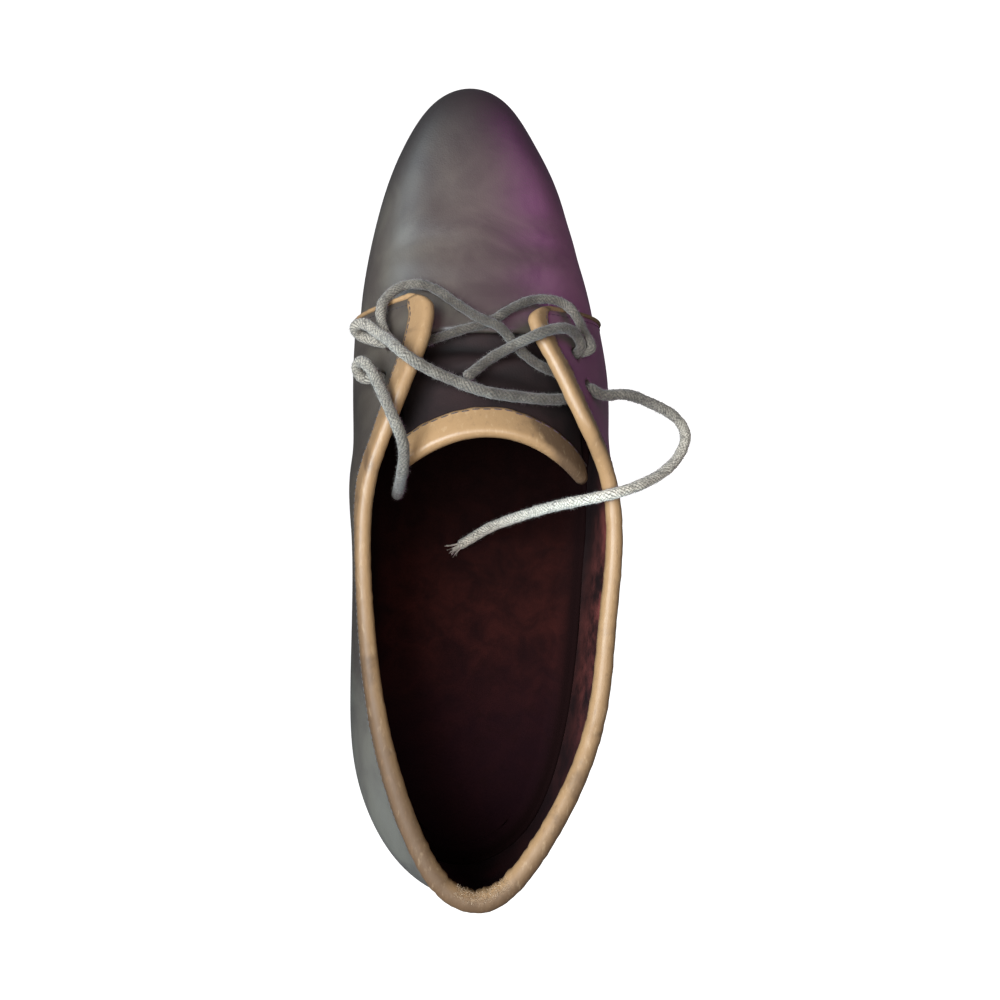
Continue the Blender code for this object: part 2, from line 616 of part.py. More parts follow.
def main():
    for old in list(bpy.data.objects):
        bpy.data.objects.remove(old)
    parts = collection_named("Derby shoe")
    cutters = collection_named("Cutters")
    leather = material_named("Grey-brown leather", (0.085, 0.070, 0.070), 0.45)
    tan = material_named("Tan edge leather", (0.46, 0.31, 0.19), 0.5)
    rubber = material_named("Dark sole", (0.03, 0.025, 0.022), 0.6)
    cord = material_named("Grey waxed cord", (0.24, 0.23, 0.20), 0.8)
    lining = material_named("Plum insole", (0.045, 0.014, 0.014), 0.6)

    vamp = vamp_grid(VAMP_RIBS, VAMP_POINTS)
    quarters = quarter_grid(QUARTER_RIBS, QUARTER_POINTS)
    upper = applied(shell("upper", vamp, WALL, leather, parts, flip=True, merge=0.01))
    back = applied(shell("quarters", quarters, WALL, leather, parts))
    joined(upper, [back])
    cut_eyelets(upper, quarters, cutters)
    swept("collar_edge", rolled_edge(quarters, WALL, COLLAR_EDGE_DEPTH)[2:-2], tan, parts)

    tongue = tongue_grid(TONGUE_ROWS, TONGUE_POINTS)
    shell("tongue", tongue, TONGUE_WALL, leather, parts)
    swept("tongue_edge", rolled_edge(tongue, TONGUE_WALL, TONGUE_EDGE_DEPTH), tan, parts)

    strands = [lace("lace_bars", route, BAR_SPACING, cord, parts) for route in LACE_BARS.values()]
    bars = [as_mesh(strand, parts) for strand in strands]
    joined(bars[0], bars[1:])
    bars[0].name = "lace_bars"
    lace("lace_end_outer", OUTER_LACE_END, OUTER_END_SPACING, cord, parts)
    lace("lace_end_inner", INNER_LACE_END, INNER_END_SPACING, cord, parts)

    sides = [sole_side(side, SOLE_MARGIN, SOLE_RUNGS) for side in (-1, 1)]
    plate("outsole", sides, sides, sole_top, lambda y: sole_top(y) - SOLE_THICK, rubber, parts)
    heel_top = [sole_side(side, SOLE_MARGIN, HEEL_RUNGS, BREAST_Y) for side in (-1, 1)]
    heel_foot = [sole_side(side, SOLE_MARGIN - HEEL_TAPER, HEEL_RUNGS, BREAST_Y) for side in (-1, 1)]
    plate("heel", heel_top, heel_foot, lambda y: sole_top(y) - SOLE_THICK - GAP, np.zeros_like, rubber, parts)
    inner = [sole_side(side, -INSOLE_INSET, INSOLE_RUNGS) for side in (-1, 1)]
    plate("insole", inner, inner, lambda y: sole_top(y) + GAP + INSOLE_THICK, lambda y: sole_top(y) + GAP,
          lining, parts)


if __name__ == "__main__":
    main()
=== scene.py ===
"""Finish of a right derby shoe: leather, rolled edges, lining, sole, lace, stitches and a plain studio.

Shapes are worked out in the shoe's own millimetres, toe along +Y and outer side along +X, and placed in
metres.
"""

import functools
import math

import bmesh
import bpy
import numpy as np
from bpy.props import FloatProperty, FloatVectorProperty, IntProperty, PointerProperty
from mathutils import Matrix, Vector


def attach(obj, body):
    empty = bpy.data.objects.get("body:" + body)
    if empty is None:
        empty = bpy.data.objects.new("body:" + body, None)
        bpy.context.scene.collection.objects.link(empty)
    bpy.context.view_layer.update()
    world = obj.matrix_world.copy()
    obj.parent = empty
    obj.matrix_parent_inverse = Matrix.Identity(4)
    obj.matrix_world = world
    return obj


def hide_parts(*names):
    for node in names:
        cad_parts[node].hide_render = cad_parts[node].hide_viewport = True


bl_info = {
    "name": "Derby shoe finish",
    "version": (1, 0, 0),
    "blender": (4, 5, 0),
    "location": "View3D > Sidebar > Derby shoe",
    "description": "Dresses the derby shoe's solids with leather, rolled edges, lace and stitches",
    "category": "Object",
}

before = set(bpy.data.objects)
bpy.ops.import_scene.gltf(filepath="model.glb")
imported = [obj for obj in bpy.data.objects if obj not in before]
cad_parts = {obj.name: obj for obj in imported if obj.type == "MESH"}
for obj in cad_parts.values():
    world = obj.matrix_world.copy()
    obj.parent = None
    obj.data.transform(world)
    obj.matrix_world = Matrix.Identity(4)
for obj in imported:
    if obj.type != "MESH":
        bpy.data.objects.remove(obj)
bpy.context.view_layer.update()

MM = 0.001

# Middle of the shoe's box on the floor, which is the frame's origin
MIDDLE = np.array([5.27, -0.70, 0.0])

# Sizes that the solids share, in millimetres
TIP_Y = 147.8
THROAT_Y = 50.0
FRONT_EDGE_Y = 58.3
BREAST_Y = -62.0
WALL = 2.0
FOOT_GAP = 0.5
OVERLAY = 1.6
SOLE_THICK = 5.0
SOLE_MARGIN = 1.0
INSOLE_THICK = 2.5
HEEL_TAPER = 2.5
HEEL_GAP = 0.1
TONGUE_WALL = 1.8
TONGUE_DROP = WALL + 0.4
TONGUE_FRONT_Y = 57.0
TONGUE_TOP_Y = 17.0
TONGUE_INNER = (-26.0, 6.0)
TONGUE_OUTER = (40.0, 0.0)
EYELET_RADIUS = 2.4
FLAP_LEAST_Z = 45.0
PUNCH_LENGTH = 14.0

# Curves of the ribs: how they fan out at the toe, how full they are, and the middle that the heel's lean to
TOE_FAN_Y = 95.0
TOE_FAN = 0.0063
FULLNESS = 0.57
FOOT_FLARE = 0.45
FOOT_RISE = 0.25
FLANK_HANDLE = 0.5
COLLAR_HANDLE = 0.4
HEEL_HEART = (2.0, -95.0)

# Share of the overlay that the quarters have at their lower edge, and how fast it grows above
TUCK = 0.4
TUCK_RISE = 4.0

# Fineness of the meshes
LOWER_POINTS = 16
UPPER_POINTS = 60
VAMP_STATIONS = 92
VAMP_POINTS = 76
QUARTER_STATIONS = 230
QUARTER_POINTS = 66
CORNER_STATIONS = 8
CORNER_ROWS = 3
SIDE_SAMPLES = 400
TOE_RIBS = 9
BISECTIONS = 30
STRIP_FACE_POINTS = 9
CROWN_POINTS = 9
SOLE_RUNGS = 90
HEEL_RUNGS = 44
HOLE_SIDES = 24
CORD_SIDES = 32
CORD_SPACING = 0.4
TONGUE_GRID = (17, 13)
TONGUE_FINE_GRID = (81, 61)
INSOLE_STATIONS = 150
INSOLE_COLUMNS = 44
PLATE_COLUMNS = 14
PIPING_STATIONS = 120
PIPING_SIDES = 14
LINE_FINENESS = 4
VAMP_MERGE = 0.01
MERGE = 0.02

# Fibres on a square metre for one on a square centimetre
PER_SQUARE_CM = 10000

# Height of the sole's upper face along the shoe: y, z
SOLE_PROFILE = (
    (-152, 27.2), (-105, 26.4), (-62, 25.0), (-28, 16.0), (8, 7.2), (34, 5.0),
    (76, 5.0), (108, 7.4), (132, 11.0), (152, 15.4))

# Plan outline of the vamp: y, inner side x, outer side x
VAMP_OUTLINE = (
    (0, -41.4, 50.0), (15, -41.5, 51.5), (30, -41.8, 52.5), (43, -41.7, 51.8), (54, -41.2, 50.2),
    (66, -40.4, 48.2), (79, -38.6, 45.0), (97, -34.7, 40.0), (114.5, -29.3, 33.7),
    (126.5, -23.9, 27.2), (136, -18.2, 21.2), (142, -12.9, 16.0), (TIP_Y, 1.7, 1.7))

# Crest of vamp and tongue: y, x, z
RIDGE = (
    (-5, 4.5, 97.0), (15, 4.0, 85.0), (30, 3.5, 76.0), (45, 3.0, 69.0), (60, 2.6, 62.5), (75, 2.3, 56.2),
    (90, 2.1, 50.8), (105, 1.9, 46.4), (120, 1.8, 42.8), (133, 1.7, 39.8))

# Height of the widest line over the sole, and inset of the lower edge: y, rise, inset
FLANK = (
    (0, 17.0, 6.5), (30, 16.0, 4.2), (60, 14.5, 3.2),
    (100, 12.5, 2.8), (130, 10.5, 2.6), (151, 8.0, 2.4))

# Free flaps of the quarters: y, x of the flap's edge, lift above the vamp, how far the edge leans forward
INNER_FLAP = (
    (58.3, -22.0, 3.5, 3.8), (57.7, -19.0, 5.0, 3.8), (56.2, -17.0, 6.2, 3.6), (52, -16.4, 7.0, 2.6),
    (44, -18.6, 7.8, 1.0), (36, -22.3, 8.0, 0.2), (27, -26.0, 7.6, 0.0), (17, -30.0, 6.6, 0.0))
OUTER_FLAP = (
    (58.3, 27.0, 3.5, 0.0), (57.7, 24.0, 5.0, 0.0), (56.2, 21.8, 6.0, 0.0), (52, 21.6, 6.6, 0.0),
    (47, 23.6, 6.8, 0.0), (38, 28.4, 6.8, 0.0), (28, 33.2, 6.2, 0.0), (18, 38.2, 5.6, 0.0))

# Lace holes in the flaps: plan x, y
EYELETS = ((-28.5, 46.0), (-31.0, 33.0), (36.0, 43.0), (40.0, 31.5))

# Ribs of the quarters behind the flaps:
# widest x, y, rise over the sole, inset below, top x, y, z, inward lean of the top in degrees
INNER_RIBS = (
    (-43.0, 4, 17.0, 6.5, -34.8, 4, 75.2, 28),
    (-43.0, -22, 17.5, 8.5, -38.3, -20, 72.6, 15),
    (-43.0, -50, 18.0, 8.5, -37.4, -48, 72.2, 12),
    (-43.6, -78, 18.5, 7.0, -34.0, -77, 74.5, 12),
    (-42.4, -102, 19.0, 5.5, -27.8, -102, 79.3, 14),
    (-36.6, -122, 19.0, 4.5, -20.0, -122, 83.3, 14),
    (-24.0, -140, 19.0, 4.0, -11.0, -135.3, 85.4, 12))
HEEL_RIB = (-2.0, -149.5, 19.0, 4.0, 0.0, -140.0, 86.0, 8)
OUTER_RIBS = (
    (51.6, 4, 17.0, 5.5, 45.6, 4, 70.6, 20),
    (49.8, -22, 17.5, 7.0, 50.0, -22, 67.4, 5),
    (46.5, -50, 18.0, 7.0, 47.6, -51, 67.8, 4),
    (43.0, -78, 18.5, 5.5, 43.6, -80, 71.5, 6),
    (38.5, -102, 19.0, 4.5, 34.6, -103, 78.0, 12),
    (32.0, -122, 19.0, 4.0, 22.6, -122, 83.0, 14),
    (20.0, -140, 19.0, 4.0, 10.8, -135.6, 85.4, 12))

# Rim of the sock lining, cupped up to the walls: margin outside the upper's face, rise over the sole
INSOLE_CUP = ((-1.6, 9.5), (-2.0, 7.4), (-2.5, 5.8), (-3.1, 4.6), (-3.9, 3.7), (-5.2, 3.1))

# Trimmed edge of the outsole with its groove: margin, drop below the upper face
SOLE_EDGE = (
    (-0.5, 0.0), (-0.1, 0.15), (0.0, 0.6), (0.0, 1.5), (-0.25, 1.7), (-0.25, 2.0), (0.0, 2.2),
    (0.0, SOLE_THICK - 0.7), (-0.2, SOLE_THICK - 0.2), (-0.8, SOLE_THICK))

# Lifts of the heel with the lines between them: share of the height from the top, margin
HEEL_LIFTS = (
    (0.0, -0.3), (0.02, 0.0), (0.30, 0.0), (0.32, -0.3), (0.35, -0.3), (0.37, 0.0),
    (0.64, 0.0), (0.66, -0.3), (0.69, -0.3), (0.71, 0.0), (0.97, 0.0), (1.0, -0.5))

# Soft troughs (negative) and ridges pressed into the vamp by walking:
# from x, y to x, y, bow of the line, half width, height
VAMP_CREASES = (
    (-14, 97.0, 42, 98.0, -4.0, 7.0, -0.9),
    (-30, 90.0, 38, 88.0, 5.0, 6.0, 0.5),
    (-36, 84.0, 10, 79.0, 3.0, 4.0, -0.35),
    (6, 80.0, 46, 82.0, 3.0, 4.5, -0.45),
    (-38, 74.0, 4, 71.0, 3.0, 4.0, 0.3),
    (0, 71.0, 46, 73.0, 3.0, 5.0, 0.35),
    (-24, 66.0, 30, 65.0, 3.0, 4.0, -0.3))

# Soft folds across the tongue, in the same columns
TONGUE_CREASES = (
    (-22, 50.0, 24, 47.0, 3.0, 2.2, -1.2),
    (-16, 46.0, 28, 43.0, 4.0, 1.9, 1.3),
    (-24, 41.0, 16, 40.0, 3.0, 2.0, -1.3),
    (-10, 37.0, 34, 34.0, 4.0, 2.2, 1.1),
    (-20, 33.0, 26, 29.0, 4.0, 2.4, -0.9))

# Wear and painted shade of the rolled edges: share of the length from the inner flap round the heel, or from
# the tongue's outer end, and how handled the leather is there; the high values along the inner back stretch
# and at the tongue's outer end are painted shade as well as wear
COLLAR_WEAR_AND_SHADE = ((0.0, 0.0), (0.2, 0.5), (0.38, 1.1), (0.5, 0.95), (0.62, 0.7), (0.8, 0.35), (1.0, 0.2))
TONGUE_WEAR_AND_SHADE = ((0.0, 2.6), (0.22, 1.1), (0.45, 0.0), (1.0, 0.2))

# Padding of the collar's edge: the same shares of its length, and how many times its leather's thickness
COLLAR_SWELL = ((0.0, 1.0), (0.12, 1.0), (0.3, 1.3), (0.5, 1.85), (0.7, 1.6), (0.88, 1.2), (1.0, 1.0))

# Uneven lines of the rolled edges: height, wavelength and random start of each wave
COLLAR_WAVES = ((0.25, 17.0, 3),)
TONGUE_WAVES = ((0.2, 15.0, 9),)
FRAY_WAVES = ((1.5, 9.0, 8), (0.4, 2.5, 4))
PUCKER_WAVES = ((0.10, 6.5, 5), (0.06, 2.6, 6))
PIPING_WAVES = ((0.05, 6.0, 2),)

# What makes a wave uneven: shares of its wavelength that are added up, and the height that they reach
WAVE_SHARES = (1.0, 0.62, 0.41, 1.7)
WAVE_PEAK = 2.5

# Routes of the lace's middle line: x, y, z of chosen points, from hole to hole or from a hole to its free end
LACE_CROSSINGS = (
    ((-27.0, 45.5, 58.5), (-28.3, 47.2, 62.5), (-30.0, 49.0, 64.8), (-31.4, 53.4, 62.4), (-31.6, 58.4, 60.4),
     (-28.8, 63.4, 58.2), (-23.4, 66.8, 57.4), (-17.8, 67.0, 58.6), (-12.5, 64.8, 61.0), (-6.8, 60.4, 64.2),
     (-1.4, 56.2, 67.6), (3.4, 53.0, 70.8), (8.0, 50.8, 72.4), (12.2, 46.6, 71.8), (16.2, 42.6, 70.2),
     (21.2, 38.8, 69.4), (26.0, 36.8, 67.4), (32.0, 35.0, 64.5)),
    ((-22.0, 45.0, 64.0), (-17.0, 46.0, 66.0), (-11.6, 47.6, 67.4), (-7.2, 49.0, 68.4), (-1.8, 50.6, 69.2),
     (3.8, 52.2, 69.2), (8.4, 54.8, 67.6), (13.0, 58.0, 64.8), (18.4, 60.8, 62.4), (24.0, 62.2, 60.8),
     (29.6, 61.6, 61.0), (34.2, 58.6, 62.4), (37.4, 53.6, 63.0), (39.4, 49.0, 64.2), (41.0, 44.6, 64.6),
     (38.6, 43.4, 63.0), (36.4, 42.6, 60.0)),
    ((-3.6, 32.8, 75.8), (0.4, 36.0, 74.6), (4.4, 39.2, 73.4), (8.6, 41.8, 73.0), (13.0, 44.2, 73.6),
     (17.4, 46.2, 75.6), (22.0, 48.0, 77.4), (26.4, 49.6, 76.0), (30.6, 50.4, 72.2), (34.2, 49.8, 68.4),
     (36.4, 47.8, 66.2), (37.4, 45.0, 65.4), (36.6, 43.6, 63.6), (35.8, 42.8, 60.5)),
    ((-28.5, 45.8, 60.5), (-31.5, 46.5, 61.5), (-35.5, 47.5, 60.5), (-39.6, 49.6, 60.6), (-40.4, 51.2, 62.4),
     (-38.0, 52.2, 64.8), (-33.8, 49.6, 68.6), (-28.8, 45.6, 74.2), (-24.0, 40.6, 81.0), (-15.8, 35.6, 79.2),
     (-6.4, 31.8, 76.8), (3.0, 28.4, 77.8), (14.0, 26.8, 77.4), (24.6, 26.2, 73.6), (28.4, 26.4, 71.6),
     (34.0, 27.5, 67.5), (39.0, 29.5, 65.0)))
OUTER_LACE_END = (
    (40.2, 31.2, 62.5), (41.8, 30.2, 64.8), (44.0, 28.8, 65.8), (51.0, 28.8, 65.2), (60.5, 27.2, 61.0),
    (69.0, 24.2, 56.4), (75.4, 20.2, 53.4), (78.0, 15.4, 52.6), (76.0, 9.2, 54.4), (70.4, 3.4, 58.8),
    (62.0, -1.0, 65.8), (54.0, -3.8, 71.4), (47.6, -5.6, 73.0), (40.2, -7.4, 69.6), (31.2, -9.8, 60.0),
    (22.4, -13.0, 47.6), (13.8, -16.8, 35.4), (6.4, -20.8, 26.0), (0.8, -24.6, 21.8), (-3.2, -27.0, 21.2))
INNER_LACE_END = (
    (-30.5, 33.0, 62.5), (-32.2, 33.9, 64.6), (-34.0, 34.2, 65.4), (-36.2, 33.4, 65.0), (-38.4, 34.4, 65.0),
    (-39.6, 36.8, 66.4), (-38.2, 38.8, 69.2), (-35.4, 36.8, 72.4), (-32.6, 31.8, 76.6), (-30.0, 26.2, 80.8),
    (-27.6, 20.6, 84.2), (-25.4, 15.6, 84.8), (-23.8, 10.2, 83.2), (-23.8, 4.4, 80.2), (-24.8, -1.2, 73.0),
    (-25.8, -4.6, 63.0), (-26.4, -6.4, 55.0))

# Wear and painted shade of each crossing of the lace and of its free ends: grime and painted shade at the
# start and at the end, the share of the length over which it changes, and the thickness that is left where
# the lace is pulled tight. The dark crossings and the inner end's hanging tip are painted shade as well as
# grime
CROSSING_WEAR_AND_SHADE = ((0.4, 1.0, 0.5, 0.86), (1.0, 0.9, 1.0, 0.82), (0.9, 0.9, 1.0, 0.9), (0.4, 1.0, 0.9, 0.96))
OUTER_END_WEAR_AND_SHADE = (0.9, 0.0, 0.45, 0.96)
INNER_END_WEAR_AND_SHADE = (0.45, 0.95, 1.0, 0.94)

# View of the photograph: camera place, look and focal length in its pixels, and this frame's middle in it
CAMERA_PLACE = np.array([-20.0, 1.0, 400.0])
PHOTO_LOOK = (math.tan(math.radians(-3.5)), math.tan(math.radians(-1.77)), -1.0)
PHOTO_FOCUS = 751.0
PHOTO_SIZE = 1000.0
FRAME_MIDDLE = (612.0, 497.0)
FRAME_ZOOM = 1.295


def length(name, description, millimetres):
    """A size that the sidebar shows in the scene's units."""
    return FloatProperty(name=name, description=description, default=millimetres * MM,
                         min=0.0, precision=5, unit="LENGTH", subtype="DISTANCE")


def tint(name, description, colour):
    """A linear colour with a picker in the sidebar."""
    return FloatVectorProperty(name=name, description=description, default=colour,
                               size=3, min=0.0, max=1.0, subtype="COLOR")


def number(name, description, value):
    """A plain number of zero or more."""
    return FloatProperty(name=name, description=description, default=value, min=0.0)


class LeatherLooks(bpy.types.PropertyGroup):
    """Smooth waxed leather of vamp, quarters and tongue, and the lining behind it."""

    colour: tint("Leather", "Body colour of the grey-brown leather", (0.072, 0.060, 0.047))
    deep: tint("Deep leather", "Colour of its darker clouds", (0.044, 0.034, 0.029))
    # Darker than the vamp partly as painted shade: the tongue lies under the flaps and the lace
    tongue: tint("Tongue", "Dark, unpolished leather of the tongue", (0.022, 0.013, 0.013))
    tongue_deep: tint("Deep tongue", "Colour of its darker clouds", (0.010, 0.008, 0.008))
    lining: tint("Lining", "Red-brown lining leather", (0.15, 0.034, 0.027))
    insole: tint("Insole", "Plum sock lining", (0.025, 0.0065, 0.0055))
    stain: tint("Stain", "Dark blotches of the insole", (0.009, 0.0035, 0.0035))
    roughness: number("Roughness", "Middle roughness of the leather", 0.40)
    grain: length("Grain", "Depth of the leather's pores", 0.05)


class EdgeLooks(bpy.types.PropertyGroup):
    """Tan leather rolled over the collar, the flaps and the tongue's top."""

    colour: tint("Edge", "Tan of the rolled edge", (0.298, 0.180, 0.088))
    # This darker tan also paints shade over the outer margins, the inner collar's back stretch and the
    # tongue's outer end
    worn_and_shaded: tint("Worn edge", "Darker, handled tan", (0.105, 0.062, 0.034))
    collar_depth: length("Collar depth", "Depth of the strip below the collar's top", 7.0)
    tongue_depth: length("Tongue depth", "Depth of the strip below the tongue's top", 8.5)
    thickness: length("Thickness", "Thickness of the rolled leather", 1.3)
    piping: length("Piping radius", "Radius of the thin piping on the front edge", 0.95)
    nap: length("Nap", "Length of the fibres at the worn heel", 1.3)
    nap_density: number("Nap fibres", "Fibres at the worn heel for each square centimetre", 420.0)


class LaceLooks(bpy.types.PropertyGroup):
    """Round braided cotton lace."""

    colour: tint("Lace", "Grey cotton", (0.64, 0.575, 0.475))
    # Both shade colours are painted shade between the strands; the grimy ones also paint shade over the
    # crossings and the inner end, as well as grime
    shade: tint("Lace shade", "Grey between the strands", (0.16, 0.14, 0.115))
    grimy_and_shaded: tint("Grimy lace", "Cotton that has rubbed in the holes", (0.064, 0.050, 0.037))
    grimy_shade: tint("Grimy shade", "Its grey between the strands", (0.019, 0.016, 0.013))
    diameter: length("Diameter", "Thickness of the lace", 4.2)
    hair: length("Hair", "Length of its loose fibres", 1.2)
    density: number("Hairs", "Loose fibres for each square centimetre", 210.0)
    seed: IntProperty(name="Seed", description="Start of the fibres' random places", default=4)


class StitchLooks(bpy.types.PropertyGroup):
    """Dark sewing thread."""

    colour: tint("Thread", "Dark thread", (0.016, 0.012, 0.012))
    pitch: length("Pitch", "Distance from stitch to stitch along the collar", 2.3)
    tongue_pitch: length("Tongue pitch", "Distance from stitch to stitch on the tongue's strip", 3.5)
    gap: length("Gap", "Hidden length between two stitches along the collar", 0.2)
    tongue_gap: length("Tongue gap", "Hidden length between two stitches on the tongue's strip", 0.7)
    thickness: length("Thread thickness", "Width of the thread", 0.45)


class SoleLooks(bpy.types.PropertyGroup):
    """Dark outsole and heel."""

    colour: tint("Sole", "Dark edge of the sole", (0.022, 0.017, 0.015))
    dust: tint("Dust", "Pale wear on the sole", (0.085, 0.070, 0.060))


class StageLooks(bpy.types.PropertyGroup):
    """Plain floor, lights and surroundings."""

    floor: tint("Floor", "Pale floor", (0.92, 0.92, 0.93))
    daylight: tint("Daylight", "Cool light from the inner side", (0.84, 0.93, 1.0))
    violet: tint("Violet", "Soft violet light from the outer side", (1.0, 0.05, 0.98))
    daylight_power: number("Daylight power", "Watts of the large light", 16.5)
    violet_power: number("Violet power", "Watts of the violet light", 0.76)
    top_power: number("Top power", "Watts of the light above", 5.5)
    window_power: number("Window power", "Watts of the cool light behind the inner side", 0.55)
    flank_power: number("Flank power", "Watts of the cool light along the vamp's inner flank", 0.10)
    glow: number("Floor glow", "Light that the pale floor gives by itself", 0.8)
    ambient: number("Ambient", "Strength of the surroundings", 0.12)


LOOKS = {
    "derby_leather": LeatherLooks, "derby_edge": EdgeLooks, "derby_lace": LaceLooks,
    "derby_stitch": StitchLooks, "derby_sole": SoleLooks, "derby_stage": StageLooks}


def cubic(xs, ys, x):
    """Natural cubic spline through the rows of ys at xs, read at x."""
    xs, ys = np.asarray(xs, float), np.asarray(ys, float)
    n, h = len(xs), np.diff(xs)
    system, right = np.eye(n), np.zeros((n,) + ys.shape[1:])
    for i in range(1, n - 1):
        system[i, i - 1:i + 2] = h[i - 1], 2 * (h[i - 1] + h[i]), h[i]
        right[i] = 6 * ((ys[i + 1] - ys[i]) / h[i] - (ys[i] - ys[i - 1]) / h[i - 1])
    bend = np.linalg.solve(system, right.reshape(n, -1)).reshape(right.shape)
    x = np.asarray(x, float)
    k = np.clip(np.searchsorted(xs, x) - 1, 0, n - 2)
    shape = x.shape + (1,) * (ys.ndim - 1)
    step = h[k].reshape(shape)
    b = ((x - xs[k]).reshape(shape)) / step
    a = 1 - b
    sag = ((a ** 3 - a) * bend[k] + (b ** 3 - b) * bend[k + 1]) * step ** 2 / 6
    return a * ys[k] + b * ys[k + 1] + sag


def column_curve(table, column, x):
    """Smooth curve through one column of a table whose first column rises."""
    rows = np.array(table, float)
    return cubic(rows[:, 0], rows[:, column], x)


def sole_top(y):
    """Height of the sole's upper face: a curve that never overshoots, so level stretches stay level."""
    rows = np.array(SOLE_PROFILE, float)
    xs, zs = rows[:, 0], rows[:, 1]
    h = np.diff(xs)
    grade = np.diff(zs) / h
    slope = np.zeros(len(xs))
    for i in range(1, len(xs) - 1):
        if grade[i - 1] * grade[i] > 0:
            before, after = 2 * h[i] + h[i - 1], h[i] + 2 * h[i - 1]
            slope[i] = (before + after) / (before / grade[i - 1] + after / grade[i])
    slope[0], slope[-1] = grade[0], grade[-1]
    x = np.clip(np.asarray(y, float), xs[0], xs[-1])
    k = np.clip(np.searchsorted(xs, x) - 1, 0, len(xs) - 2)
    t = (x - xs[k]) / h[k]
    return ((1 + 2 * t) * (1 - t) ** 2 * zs[k] + t * (1 - t) ** 2 * h[k] * slope[k]
            + t * t * (3 - 2 * t) * zs[k + 1] + t * t * (t - 1) * h[k] * slope[k + 1])


def bezier(a, b, c, d, count):
    """Points of a curve from a to d that b and c pull towards them."""
    t = np.linspace(0, 1, count)[:, None]
    return (1 - t) ** 3 * a + 3 * t * (1 - t) ** 2 * b + 3 * t * t * (1 - t) * c + t ** 3 * d


def arc_length(line):
    """Length from the line's start to each of its points."""
    return np.concatenate([[0], np.cumsum(np.linalg.norm(np.diff(line, axis=0), axis=1))])


def resample(line, count):
    """The same line with evenly spaced points."""
    along = arc_length(line)
    at = np.linspace(0, along[-1], count)
    return np.stack([np.interp(at, along, line[:, k]) for k in range(line.shape[1])], axis=1)


def unit(v):
    """The same directions with a length of one."""
    return v / np.maximum(np.linalg.norm(v, axis=-1, keepdims=True), 1e-9)


def ripple(along, wavelength, seed):
    """Smooth uneven wave between about -1 and 1 along a length, the same each run."""
    draw = np.random.default_rng(seed)
    total = np.zeros(np.shape(along))
    for share in WAVE_SHARES:
        total = total + np.sin(2 * np.pi * along / (wavelength * share) + draw.uniform(0, 2 * np.pi))
    return total / WAVE_PEAK


def waves(along, table):
    """Uneven waves of several heights and lengths, added up."""
    return sum(height * ripple(along, wavelength, seed) for height, wavelength, seed in table)


def eased(share):
    """Smooth step from 0 to 1 as a share goes from 0 to 1."""
    share = np.clip(share, 0, 1)
    return share * share * (3 - 2 * share)


def rib(foot, wide, top, top_direction, reach):
    """One rib: from the lower edge out to the widest line, then up to the top."""
    lift = np.array([0.0, 0.0, wide[2] - foot[2]])
    out = np.array([wide[0] - foot[0], wide[1] - foot[1], 0.0])
    leaving = foot + FOOT_FLARE * out + FOOT_RISE * lift
    lower = bezier(foot, leaving, wide - FLANK_HANDLE * lift, wide, LOWER_POINTS)
    up = np.array([0.0, 0.0, FULLNESS * (top[2] - wide[2])])
    upper = bezier(wide, wide + up, top - reach * top_direction, top, UPPER_POINTS)
    return np.concatenate([lower, upper[1:]])


def outline_at(y, side):
    """Plan point of the vamp's widest line and its outward direction; side is -1 inner, 1 outer."""
    rows = np.array(VAMP_OUTLINE[::-1], float)
    along = np.sqrt((TIP_Y - rows[:, 0]) / TIP_Y)
    column = rows[:, 1 if side < 0 else 2]
    here = math.sqrt(max(TIP_Y - y, 0.0) / TIP_Y)
    step = 0.004
    x, ahead = cubic(along, column, np.array([here, here + step]))
    back = TIP_Y * ((here + step) ** 2 - here ** 2)
    run = unit(np.array([ahead - x, -back]))
    normal = np.array([run[1], -run[0]]) if side > 0 else np.array([-run[1], run[0]])
    return np.array([x, y]), -normal


def vamp_rib(y, side):
    """Rib of the vamp, or of the tongue behind it, that starts at y on one side."""
    plan, normal = outline_at(y, side)
    rise, inset = column_curve(FLANK, 1, y), column_curve(FLANK, 2, y)
    inner = plan - inset * normal
    foot = np.array([*inner, sole_top(inner[1]) + FOOT_GAP])
    wide = np.array([*plan, sole_top(y) + rise])
    crest_y = y - TOE_FAN * max(y - TOE_FAN_Y, 0.0) ** 2
    crest_x, crest_z = column_curve(RIDGE, 1, crest_y), column_curve(RIDGE, 2, crest_y)
    half_step = 0.5
    slope = column_curve(RIDGE, 2, crest_y + half_step) - column_curve(RIDGE, 2, crest_y - half_step)
    crest = np.array([crest_x, crest_y, crest_z])
    across = np.array([crest_x - plan[0], crest_y - plan[1], (crest_y - plan[1]) * slope])
    return rib(foot, wide, crest, across, FULLNESS)


def outward_in_section(line, side):
    """Outward directions of a line that lies in a plane across the shoe."""
    run = np.gradient(line, axis=0)
    across = np.stack([run[:, 2], np.zeros(len(line)), -run[:, 0]], axis=1)
    return unit(across) * side


def flap_row(y, edge_x, lift, lean, side, count):
    """Row of the quarter over the vamp: it lies on the vamp below and stands free at its edge_x."""
    whole = vamp_rib(y, side)
    share = np.linspace(0, 1, count)
    ease = share ** 3
    tuck = np.minimum(TUCK + TUCK_RISE * share, 1.0)

    def raised(cut):
        last = int(cut)
        end = whole[last] + (whole[last + 1] - whole[last]) * (cut - last)
        line = resample(np.concatenate([whole[:last], [end]]), count)
        row = line + outward_in_section(line, side) * (tuck * OVERLAY + lift * ease)[:, None]
        row[0, 2] = line[0, 2]
        row[:, 1] += lean * ease
        return row

    low, high = LOWER_POINTS + 2.0, len(whole) - 1.01
    for _ in range(BISECTIONS):
        middle = (low + high) / 2
        if raised(middle)[-1, 0] * side > edge_x * side:
            low = middle
        else:
            high = middle
    return raised(low)


